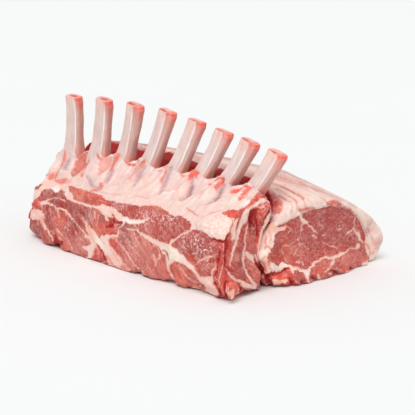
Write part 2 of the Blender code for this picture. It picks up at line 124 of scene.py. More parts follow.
rackMarks = {
    "membrane": fatPatch([
        (20, 120), (22, 160), (30, 180), (34, 190), (31, 200), (36, 198), (40, 196), (43, 191),
        (48, 188), (52, 189), (54, 192), (58, 192), (60, 188), (63, 190), (64, 196), (70, 200),
        (73, 196), (69, 190), (68, 186), (76, 187), (84, 190), (93, 192), (101, 196), (106, 200),
        (116, 202), (130, 204), (140, 206), (150, 205), (158, 206), (164, 209), (170, 215), (180, 216),
        (186, 219), (190, 224), (188, 230), (196, 230), (204, 233), (210, 237), (216, 240), (225, 240),
        (229, 236), (232, 229), (234, 222), (240, 218), (250, 206), (262, 194), (270, 180), (262, 150),
        (200, 110), (60, 90),
    ]),
    "bandUnderShoulder": fatSeam([
        (66, 193, 3), (70, 198, 2.4), (76, 201, 1.6), (82, 204, 1.6), (90, 206, 1.8), (97, 207, 2.2),
        (104, 210, 4), (110, 213, 4), (116, 216, 3), (122, 219, 3), (130, 221, 2.6), (138, 222, 2.4),
        (145, 220, 1.6), (150, 218, 0.8),
    ], -0.5),
    "creamPatch": fatPatch([
        (98, 205), (108, 205), (115, 209), (121, 214), (123, 219), (116, 219), (113, 213), (109, 213),
        (107, 216), (108, 221), (105, 220), (103, 216), (100, 211),
    ]),
    "leftFoot": fatPatch([(28, 211), (36, 209), (42, 211), (45, 218), (40, 220), (31, 219)]),
    "edgeTopPatch": leanPatch([(37, 183), (41, 181), (42, 185), (40, 190), (36, 190)]),
    "leftEdgeSeam": fatSeam([
        (40, 202, 1.6), (44, 201, 1.6), (50, 199, 0.9), (58, 198, 0.8), (65, 200, 0.8),
    ]),
    "shoulderSeam": fatSeam([
        (41, 203, 1.8), (46, 203, 1.8), (51, 205, 1.3), (57, 208, 1.1), (62, 209, 1.4), (66, 212, 1.6),
        (70, 217, 1.1), (75, 223, 0.9), (80, 229, 1.0), (84, 234, 1.2), (87, 239, 2),
    ]),
    "shoulderFork": fatSeam([(57, 208, 0.8), (57, 213, 0.8), (58, 218, 0.6)]),
    "lowerLeftSeam": fatSeam([
        (41, 220, 1.8), (44, 226, 1.8), (47, 231, 1.2), (50, 235, 1), (53, 239, 0.9),
    ]),
    "thinSeamOne": fatSeam([
        (56, 229, 0.9), (59, 233, 0.9), (63, 237, 0.8), (67, 242, 0.8), (71, 249, 0.8),
    ]),
    "thinSeamTwo": fatSeam([(50, 231, 0.8), (54, 234, 0.8), (58, 239, 0.7), (61, 244, 0.6)]),
    "thinSeamThree": fatSeam([
        (64, 213, 0.6), (68, 220, 0.7), (71, 227, 0.6), (76, 234, 0.6), (80, 241, 0.7),
    ]),
    "hookSeam": fatSeam([(81, 215, 0.9), (83, 221, 1), (86, 226, 1), (90, 229, 1.2), (93, 233, 2)]),
    "broadBand": fatPatch([
        (84, 220), (87, 222), (90, 226), (93, 230), (96, 235), (99, 238), (100, 235.5), (104, 235),
        (109, 234), (113, 235), (111, 237.5), (108, 240), (107, 243.5), (108.5, 248), (111, 252.5),
        (115, 257), (120, 261.5), (126, 266), (131, 269.5), (124, 270.5), (114, 268), (107, 266),
        (102, 262), (98, 257), (95, 252), (92.5, 246.5), (90.5, 250), (91, 257), (87, 258), (85, 253),
        (81, 250), (79.5, 246.5), (83.5, 246), (86.5, 244), (86, 240), (84.5, 235.5), (87.5, 235),
        (86, 229),
    ], -1.2),
    "bandTriangle": leanPatch([
        (92.5, 246), (95.5, 251), (98.5, 256.5), (101.5, 262), (94, 262), (90.5, 258), (90.5, 250),
    ], 0.8),
    "redWedge": leanPatch([
        (111, 236.5), (114, 239), (119, 244), (125, 252), (131, 260), (137, 267), (130, 266),
        (122, 261.5), (115, 256), (109.5, 249), (108, 243), (108.5, 239.5),
    ]),
    "wedgeSeamOne": fatSeam([
        (117, 249, 0.4), (120, 254, 0.6), (124, 258.5, 0.7), (129, 263, 0.5), (134, 266, 0.3),
    ]),
    "wedgeSeamTwo": fatSeam([
        (113, 238, 0.8), (117, 242, 0.9), (121, 246, 1), (125, 252, 1), (129, 258, 0.9),
        (134, 263.5, 0.9), (140, 268.5, 0.9),
    ]),
    "wedgeSeamLow": fatSeam([(109.5, 249.5, 0.5), (113, 254, 0.6), (117, 257.5, 0.6), (122, 261, 0.4)]),
    "paleGap": fatSeam([
        (118, 215, 3), (122, 219, 2.6), (123, 223, 1.6), (119, 227, 1), (117.5, 231, 1.4),
        (116, 236, 1.8), (112, 236, 1.6),
    ]),
    "mainBandStart": fatSeam([
        (126, 228, 1), (131, 230, 1.2), (137, 231, 1.2), (143, 235, 1.6), (148, 239, 2.4),
    ]),
    "mainBand": fatSeam([
        (146, 237, 1.8), (152, 240, 2.6), (158, 243, 3.2), (163, 246, 3.6), (170, 252, 6.4),
        (176, 256, 5.6), (182, 259, 4), (188, 264, 2.8), (193, 269, 2.2), (197, 274, 2),
        (200, 279, 2.2), (204, 284, 3.6), (209, 290, 4.6), (215, 296, 4.2), (220, 301, 3.6),
    ], -1.4),
    "kneeCrease": slit([(164, 250, 0.3), (167, 254, 0.5), (168, 259, 0.4)], 0.5),
    "mainBandKnee": fatPatch([
        (165, 244), (172, 246), (176, 251), (181, 258), (175, 261), (168, 266), (165, 260),
    ]),
    "bandShelf": fatPatch([(199, 277), (211, 278), (212, 284), (215, 291), (207, 288), (202, 283)]),
    "wedgeSeamThree": fatSeam([(128, 241, 0.6), (131, 248, 0.7), (138, 254, 0.7), (143, 260, 0.6)]),
    "elbowSeam": fatSeam([(153, 245, 1), (159, 250, 1), (159, 256, 0.9), (156, 262, 0.7)]),
    "elbowFlecks": fatSeam([(152, 255, 1), (155, 262, 1.2), (154, 267, 0.8)]),
    "shankSeam": fatSeam([
        (166, 262, 1.6), (168, 270, 1.4), (172, 278, 1.1), (176, 284, 1), (182, 291, 0.9),
    ]),
    "shankSeamTwo": fatSeam([
        (178, 266, 0.8), (183, 273, 0.9), (189, 280, 0.9), (196, 287, 0.9), (203, 294, 0.8),
    ]),
    "shankSeamThree": fatSeam([(170, 281, 0.7), (176, 288, 0.7), (183, 292, 0.7)]),
    "paleStreak": fatSeam([
        (190, 229, 1.4), (185, 232, 1.4), (179, 235, 1.5), (174, 239, 1.5), (170, 243, 1.8),
    ]),
    "blockStreak": fatSeam([(197, 262, 1.2), (202, 259, 1.3), (207, 257, 1.4), (211, 257, 1.2)]),
    "blockFlecks": fatSeam([(191, 254, 0.9), (196, 252, 0.9), (200, 249, 0.6)]),
    "cornerBand": leanPatch([
        (222, 212), (230, 208), (239, 209), (247, 206), (252, 200), (258, 194), (264, 194), (263, 199),
        (257, 204), (251, 210), (246, 217), (241, 225), (238, 234), (234, 246), (231, 260), (229, 275),
        (221, 275), (219, 262), (220, 246), (226, 240), (231, 234), (235, 226), (234, 218), (228, 216),
    ]),
    "cornerStreak": fatSeam([
        (238, 219, 1.2), (236, 224, 2), (234, 230, 2.2), (234, 236, 2), (232, 240, 1),
    ], -0.4),
    "cornerSeam": fatSeam([
        (264, 199, 1.6), (258, 202, 2.2), (253, 206, 2.2), (248, 211, 3), (245, 218, 3),
        (242, 224, 2.2), (239, 231, 1.8), (237, 239, 1.8), (234, 248, 1.8), (232, 257, 1.4),
        (231, 266, 1),
    ], -0.4),
    "cornerFoot": fatSeam([
        (226, 268, 0.8), (230, 275, 1.2), (235, 279, 1.6), (240, 283, 1.8), (246, 288, 1.8),
        (252, 293, 1.6),
    ]),
    "cornerStripOne": fatSeam([
        (223, 244, 0.8), (224, 254, 0.8), (223, 264, 0.7), (220, 274, 0.8), (218, 284, 0.8),
    ]),
    "cornerStripTwo": fatSeam([
        (214, 256, 0.8), (214, 266, 0.8), (211, 276, 1.2), (213, 285, 1.4), (217, 292, 1.6),
    ]),
    "innerSeam": fatSeam([
        (251, 219, 1.2), (248, 228, 1.2), (246, 238, 1.1), (245, 248, 1.2), (244, 258, 1.4),
        (245, 267, 1.4), (248, 274, 1.5), (252, 280, 1.6), (257, 285, 1.6),
    ]),
    "innerPatch": fatPatch([(246, 252), (251, 253), (255, 257), (257, 263), (252, 262), (247, 258)]),
    "footPatch": fatPatch([
        (238, 279), (246, 282), (254, 285), (259, 284), (255, 292), (251, 295), (245, 289),
    ]),
    "tag": fatPatch([
        (227, 285), (230, 283), (234, 282.5), (238, 285), (240, 290), (239, 297), (235, 301),
        (230, 299), (227, 294),
    ], -0.6),
    "tagMiddle": leanPatch([(229, 287), (233, 286), (237, 288), (236, 291), (231, 291)]),
    "hollow": leanPatch([
        (253, 208), (257, 208), (260, 214), (261, 226), (259, 240), (256, 246), (252, 240), (251, 228),
        (250, 218),
    ], 2.0),
    "lobeRim": fatSeam([
        (253, 208, 1.2), (257, 204, 1.6), (263, 201, 1.6), (269, 200, 1.6), (272, 203, 1.2),
    ]),
    "lobeFoot": fatPatch([
        (263, 222), (266, 216), (271, 211), (274, 220), (274, 262), (268, 270), (262, 265), (259, 258),
        (258, 250), (260, 240), (262, 231),
    ]),
    "endEdge": fatSeam([
        (256, 255, 1.2), (260, 262, 1.4), (264, 270, 1.6), (264, 278, 1.6), (261, 284, 1.4),
    ]),
    "hollowSlit": slit([(257, 210, 1), (254, 214, 2), (253, 220, 2), (253, 227, 1.2)], 2.6),
    "hollowSlitTwo": slit([(257, 214, 1), (258, 221, 1.2), (259, 228, 1), (259, 236, 0.8)], 1.4),
    "creaseSlit": slit([(256, 259, 0.7), (258, 264, 1), (261, 269, 1.1), (265, 275, 1.2)], 1.4),
    "creaseTop": slit([(273, 203, 0.8), (270, 211, 0.9), (266, 218, 0.7), (263, 226, 0.4)], 0.8),
    "tagSlit": slit([(226, 282, 0.5), (225, 288, 0.9), (226.5, 296, 0.9), (229, 300, 0.6)], 1.8),
    "tagSlitTwo": slit([(240.5, 284, 0.5), (242, 290, 0.9), (241.5, 297, 0.9), (238, 302, 0.6)], 1.8),
    "knobSlit": slit([
        (212, 239, 0.5), (217, 241, 0.9), (223, 241.5, 1), (227, 239, 0.9), (230, 235, 0.6),
    ], 1.6),
    "stripSlitOne": slit([(227, 238, 0.9), (227, 246, 0.8), (226, 256, 0.8), (226, 266, 0.6)], 1.8),
    "stripSlitTwo": slit([(219, 250, 0.6), (218, 260, 0.7), (217, 268, 0.7), (215, 276, 0.6)], 1.3),
    "stripSlitThree": slit([(213, 283, 0.7), (217, 290, 0.8), (220, 297, 0.8)], 1.2),
    "bandSlit": slit([(93, 247, 0.3), (95.5, 251.5, 0.6), (97.5, 256, 0.9), (100, 261, 0.6)], 2.0),
    "pitOne": slit([
        (112, 214, 0.3), (113, 218, 0.5), (111.5, 221, 0.9), (111, 226, 1.0), (107, 227, 0.7),
    ], 1.8),
    "pitTwo": slit([(113, 222, 0.3), (117, 222.5, 0.5), (120, 222.5, 0.4)], 1.2),
    "pitFleck": fatSeam([(111, 223, 0.4), (114, 224.5, 0.8), (118, 224, 0.6)], -0.3),
    "pitFleckTwo": fatSeam([(94, 211, 0.7), (94, 215, 1.1), (95, 218, 0.6)], -0.2),
    "pitFleckThree": fatSeam([(98, 215, 0.6), (98, 218, 0.5), (97, 222, 0.6)], -0.2),
    "footSlit": slit([(55, 234, 0.6), (56, 239, 1.2), (59, 244, 1.6)], 1.6),
}

# Colour of each muscle: where its middle is, how far it reaches across and down (px), its shade
leanShades = {
    "darkShoulder": ((50, 194), (14, 7), "brown"),
    "edgeTop": ((39, 185), (3, 6), "brown"),
    "edgeRed": ((36, 203), (5, 6), "scarlet"),
    "edgeFoot": ((36, 228), (7, 9), "brown"),
    "leftMuscle": ((48, 211), (9, 8), "russet"),
    "leftLow": ((49, 226), (6, 7), "russet"),
    "underShoulder": ((60, 204), (10, 5), "russet"),
    "orangeMuscle": ((60, 224), (6, 12), "coral"),
    "bigMuscle": ((72, 226), (9, 15), "russet"),
    "bigMuscleTop": ((75, 208), (9, 8), "russet"),
    "bigMuscleLow": ((78, 243), (8, 8), "rose"),
    "lowOrange": ((64, 243), (6, 6), "coral"),
    "mauveMuscle": ((89, 218), (5, 9), "mauve"),
    "mauveUpper": ((84, 209), (6, 6), "russet"),
    "paleMuscle": ((97, 214), (4, 7), "rose"),
    "brightMuscle": ((100, 230), (7, 8), "coral"),
    "brightUpper": ((112, 219), (5, 5), "crimson"),
    "pitMuscle": ((112, 229), (4, 5), "scarlet"),
    "pitEdge": ((102, 218), (4, 6), "mauve"),
    "brownMuscle": ((124, 235), (6, 12), "mauve"),
    "redWedge": ((114, 246), (8, 9), "scarlet"),
    "bandTriangle": ((93, 254), (3, 6), "scarlet"),
    "wedgeFoot": ((137, 271), (5, 2.5), "deep"),
    "lowApricot": ((126, 268), (5, 3), "rose"),
    "redStrip": ((86, 196), (15, 7), "coral"),
    "redStripEnd": ((98, 200), (8, 5), "scarlet"),
    "linkMuscle": ((122, 206), (12, 5), "crimson"),
    "upperMuscle": ((146, 210), (20, 6), "crimson"),
    "upperMuscleTop": ((154, 206), (8, 4), "coral"),
    "middleMuscle": ((158, 226), (20, 9), "crimson"),
    "middleRight": ((178, 223), (10, 8), "rust"),
    "blockMuscle": ((196, 244), (20, 12), "rust"),
    "blockLow": ((205, 266), (10, 9), "crimson"),
    "elbowMuscle": ((140, 250), (12, 16), "rose"),
    "elbowRight": ((157, 262), (7, 16), "rose"),
    "shankMuscle": ((182, 274), (12, 14), "coral"),
    "shankLow": ((190, 288), (12, 8), "rose"),
    "stripMuscle": ((218, 256), (5, 18), "scarlet"),
    "stripLow": ((226, 285), (6, 12), "scarlet"),
    "stripEdge": ((230, 250), (3, 16), "scarlet"),
    "cornerLobe": ((230, 212), (8, 4), "ember"),
    "cornerTop": ((252, 203), (8, 10), "coral"),
    "cornerMuscle": ((240, 262), (6, 22), "claret"),
    "cornerMuscleTop": ((243, 236), (4, 10), "garnet"),
    # darker in the hollow at the carved end: painted shade over the meat's own dark red
    "darkHollow": ((254, 222), (5, 12), "dark"),
    "hollowEdge": ((260, 230), (2.5, 14), "scarlet"),
    "innerMuscle": ((252, 240), (6, 12), "garnet"),
    "innerEdge": ((260, 244), (3, 9), "ember"),
    "lobe": ((263, 208), (8, 7), "ember"),
    "lowMuscle": ((253, 270), (6, 11), "salmon"),
    "lowDark": ((245, 292), (7, 5), "garnet"),
    "tag": ((232, 288), (6, 6), "blaze"),
    "tagLow": ((235, 297), (5, 5), "blaze"),
}

# Where the lean glistens most, as painted glints: its middle, how far it reaches, how strongly
glistening = {
    "link": ((121, 206), (11, 4), 0.8),
    "middle": ((150, 220), (14, 7), 0.8),
    "middleRight": ((172, 221), (10, 7), 0.9),
    "block": ((190, 243), (15, 8), 1.0),
    "blockRight": ((206, 250), (7, 6), 0.8),
    "blockLow": ((202, 262), (9, 6), 0.5),
    "elbow": ((138, 246), (8, 8), 0.4),
    "bigMuscle": ((66, 222), (5, 10), 0.4),
    "mauve": ((92, 212), (4, 5), 0.8),
    "brown": ((122, 238), (5, 9), 0.4),
    "shoulder": ((48, 196), (10, 5), 0.15),
    "redPatch": ((82, 160), (6, 8), 0.6),
    "cornerStrip": ((216, 250), (3, 8), 0.5),
    "lobe": ((263, 207), (7, 5), 0.7),
}

# Where the meat swells past its plain form: its middle, how far it reaches (px), how strongly
swellings = {
    "leftShoulder": ((38, 189), (6, 8), 0.9),
    "leftFoot": ((51, 243), (9, 7), 1.0),
    "lowOne": ((72, 252), (10, 8), 0.8),
    "lowTwo": ((88, 258), (8, 7), 0.7),
    "lowThree": ((104, 264), (10, 8), 1.0),
    "lowFour": ((124, 270), (12, 8), 1.0),
    "lowFive": ((148, 280), (8, 7), 1.0),
    "lowSix": ((186, 288), (10, 8), 0.1),
    "lowSeven": ((212, 296), (8, 7), 0.3),
}

# Colour of the skin and fat over the ribs
fatShades = {
    "ribOneRidge": ((62, 165), (5, 14), "skin"),
    "leftLobe": ((56, 160), (5, 9), "silk"),
    "leftRed": ((53, 175), (4, 3), "flesh"),
    "leftRedTwo": ((62, 181), (5, 2), "flesh"),
    "ribTwoRidge": ((90, 172), (6, 17), "skin"),
    "ribTwoFoot": ((90, 181), (5, 6), "skin"),
    "ribThreeRidge": ((122, 166), (5, 12), "skin"),
    "ribFourRidge": ((150, 168), (6, 9), "skin"),
    "ribFiveRidge": ((172, 178), (6, 8), "skin"),
    "ribSixRidge": ((200, 184), (6, 9), "skin"),
    "ribSevenRidge": ((226, 190), (6, 8), "skin"),
    "leftFoot": ((36, 215), (9, 5), "mottle"),
    "leftBand": ((42, 184), (7, 8), "blush"),
    "bandMiddle": ((110, 197), (30, 6), "silk"),
    "bandSpot": ((152, 199), (10, 4), "silk"),
    "bandRight": ((175, 205), (24, 8), "silk"),
    "bandGlow": ((150, 182), (10, 6), "silk"),
    "bandGlowTwo": ((180, 190), (9, 6), "blush"),
    "bandGlowThree": ((232, 197), (14, 6), "cream"),
    "knob": ((216, 228), (18, 12), "cream"),
    "knobCore": ((220, 224), (9, 7), "ivory"),
    "broadBand": ((106, 258), (10, 8), "mottle"),
    "broadTop": ((88, 230), (3, 7), "apricot"),
    "broadFoot": ((87, 248), (4, 8), "silk"),
    "broadLow": ((124, 267), (6, 3), "salmon"),
    "mainKnee": ((171, 254), (10, 8), "ivory"),
    "mainMiddle": ((190, 266), (8, 7), "cream"),
    "mainFoot": ((208, 288), (10, 12), "blush"),
    "cornerFoot": ((248, 287), (12, 6), "blush"),
    "lobeFoot": ((266, 240), (4, 16), "cream"),
    "tagTop": ((232, 286), (5, 4), "blaze"),
    "tagLow": ((234, 294), (5, 4), "apricot"),
    "leftFootRim": ((43, 219), (4, 4), "flesh"),
    "broadGlow": ((96, 243), (4, 7), "ivory"),
    "broadOrange": ((90, 240), (2.5, 6), "apricot"),
    "broadGlowTwo": ((103, 251), (4, 5), "cream"),
    "broadTopGlow": ((105, 240), (4, 5), "silk"),
    "bandUnder": ((112, 215), (14, 5), "blush"),
    "bandUnderGlow": ((132, 221), (9, 4), "gleam"),
    "shoulderGlow": ((52, 190), (6, 3), "gleam"),
}

# Torn and bloodshot bits over the ribs, and the lilac shade beside each ridge: (across, down,
# half width), depth, shade
# The shine marks are painted highlights; the lilac marks are painted shade in the hollow beside each
# ridge, darkest in the plum cores
ribDressing = {
    "leftStrip": ([
        (65, 150, 1.2), (65, 155, 1.4), (63, 162, 1), (60, 169, 1.2), (56, 174, 1.6), (50, 178, 1.8),
    ], 0.2, "flesh"),
    "leftPatch": ([(56, 181, 1.4), (61, 181, 2), (66, 179, 1.4)], 0.0, "flesh"),
    "betweenOneTwo": ([
        (86, 152, 2), (83, 157, 4.4), (80, 163, 5), (76, 169, 4), (72, 173, 2.4),
    ], 0.7, "rosy"),
    "streakTwo": ([
        (89, 156, 1), (88, 162, 1.1), (86, 168, 1.1), (83, 173, 1), (82, 176, 1.1),
    ], 0.7, "flesh"),
    "collarTwo": ([(98, 152, 0.6), (99, 157, 0.9), (100, 160, 0.7)], 0.6, "raw"),
    "mottleTwoThree": ([
        (107, 157, 2.4), (104, 162, 4.4), (102, 168, 4.4), (99, 173, 2.4),
    ], 0.3, "speckle"),
    "betweenTwoThree": ([
        (119, 153, 1.2), (117, 158, 2.2), (114, 164, 2.2), (111, 169, 1.6),
    ], 0.6, "flesh"),
    "streakUnderTwo": ([
        (91, 190, 0.8), (96, 188.5, 1.3), (100, 185.5, 1.6), (102, 183, 0.8),
    ], 0.5, "flesh"),
    "ringThree": ([
        (124.5, 158, 0.7), (126, 162, 1), (130, 164, 1.2), (135, 163, 1), (139, 161, 0.7),
    ], 0.4, "raw"),
    "betweenThreeFour": ([
        (146, 160, 1.4), (142, 164, 2.4), (138, 169, 2.6), (134, 174, 2), (130, 179, 1),
    ], 0.7, "speckle"),
    "lineThreeFour": ([(147, 159.5, 0.8), (143, 162, 0.9), (140, 165, 0.6)], 0.3, "flesh"),
    "ringFour": ([(157, 169, 0.5), (163, 168, 0.7), (168, 166, 0.5)], 0.0, "flesh"),
    "betweenFourFive": ([
        (168, 167, 0.6), (166, 171, 0.9), (164, 176, 0.8), (161, 181, 0.5),
    ], 0.4, "flesh"),
    "ringFive": ([(180, 174.5, 0.5), (186, 174, 0.5)], 0.0, "flesh"),
    "betweenFiveSix": ([
        (196.5, 170.5, 1), (193, 173.5, 3), (190, 176, 2.4), (189, 179, 1),
    ], 0.2, "blaze"),
    "betweenFiveSixLow": ([(197, 173, 1), (196.5, 178, 1.2)], 0.2, "ember"),
    "ringSix": ([(208, 182, 0.5), (214, 181, 0.6), (220, 179, 0.6)], 0.1, "flesh"),
    "betweenSixSeven": ([
        (208, 182, 0.6), (214, 180.5, 0.9), (220, 179, 1.2), (225, 180.5, 1.2), (220, 183.5, 1.4),
        (215.5, 188, 1),
    ], 0.3, "ember"),
    "ringSeven": ([(231, 190, 0.8), (237, 188.5, 1), (243, 186, 0.7)], 0.1, "flesh"),
    "betweenSevenEight": ([
        (231, 189.5, 0.8), (237, 188, 1.1), (243, 186, 1), (249, 189, 1.4), (246, 192.5, 2),
        (242, 196, 1.6), (239, 199, 1),
    ], 0.2, "ember"),
    "bareSevenEight": ([(246, 197, 2), (251, 199, 2), (256, 201, 1.4)], 0.2, "mottle"),
    "shineEight": ([(244.5, 204, 0.8), (247, 202.5, 1.3), (249, 201, 1.1)], -0.3, "gleam"),
    "shineSeven": ([(213.5, 183, 0.8), (216, 183.6, 0.9)], 0.0, "gleam"),
    "shineFive": ([(160, 176, 0.7), (162, 175.4, 0.9)], 0.0, "gleam"),
    "shineLow": ([(164, 192, 0.7), (169, 193, 0.8), (174, 192, 0.7)], 0.0, "gleam"),
    "underEight": ([
        (263, 193, 1.6), (258, 197, 2.4), (253, 202, 2.2), (247, 207, 1.8), (240, 210, 1.2),
    ], 0.0, "flesh"),
    "shadeOne": ([(70, 156, 1.6), (68, 162, 1.8), (65, 169, 1.4)], 0.6, "lilac"),
    "shadeThree": ([(112, 170, 1.2), (109, 176, 1.4), (105, 181, 1)], 0.5, "lilac"),
    "shadeFour": ([(145, 166, 0.8), (141, 172, 1.4), (137, 178, 1.4), (132, 184, 0.8)], 0.8, "lilac"),
    "shadeFive": ([
        (172, 166, 1), (169, 172, 1.4), (166, 178, 1.6), (162, 185, 1.3), (158.5, 190, 0.7),
    ], 1.1, "lilac"),
    "shadeSix": ([
        (192, 178, 1), (191.5, 184, 2), (188, 190, 2), (184, 195, 1.4), (178, 197, 0.6),
    ], 1.2, "lilac"),
    "coreSix": ([(191, 184, 0.5), (188.5, 189, 1), (186, 193, 0.8)], 0.6, "plum"),
    "shadeSeven": ([
        (225.5, 182, 1), (221.5, 187, 1.8), (217, 193, 2), (211, 198, 1.4), (205, 201.5, 0.7),
    ], 1.2, "lilac"),
    "coreSeven": ([(222, 186, 0.4), (219, 190.5, 0.9), (215, 195.5, 0.7)], 0.6, "plum"),
    "shadeTwo": ([(86, 175, 0.8), (89, 180, 1.6), (92, 185, 1.2), (99, 187, 0.8)], 0.6, "lilac"),
    "bandOrange": ([(87, 226, 0.9), (89, 231, 1.2), (90, 237, 1), (91, 243, 0.5)], 0.2, "thread"),
    "bandLine": ([
        (97, 239, 0.3), (101, 243.5, 0.6), (104, 247, 0.4), (107, 252, 0.3), (111, 258, 0.6),
        (115, 262, 0.5),
    ], 0.5, "thread"),
    "bandFootLine": ([
        (100, 257, 0.4), (104, 261, 0.7), (108, 264.5, 0.6), (114, 266.5, 0.4),
    ], 0.4, "flesh"),
    "orangeLine": ([
        (186, 207, 0.3), (189, 209.5, 0.7), (193, 212.5, 0.6), (197, 215, 0.3),
    ], 0.2, "flesh"),
    "orangeLineTwo": ([
        (200, 216, 0.3), (206, 214, 0.4), (213, 211.5, 0.5), (221, 209.5, 0.3),
    ], 0.2, "vein"),
    "tagBlaze": ([(229, 285.5, 1.6), (233, 285, 2.4), (237.5, 287.5, 1.8)], 0.0, "blaze"),
    "tagPale": ([(229.5, 294, 1.2), (232, 297, 1.6)], 0.0, "thread"),
    "tagSide": ([(238, 291, 0.8), (238.5, 296, 1), (236, 300, 0.7)], 0.2, "ember"),
    "pinkLine": ([(131, 196.5, 0.2), (138, 196, 0.4), (150, 197.5, 0.2)], 0.2, "vein"),
    "pinkLineTwo": ([(98, 191, 0.3), (108, 193, 0.4), (120, 193.5, 0.2)], 0.2, "vein"),
    "knobLine": ([(230, 216, 0.8), (233, 222, 0.8), (231, 229, 0.8)], 0.3, "flesh"),
}

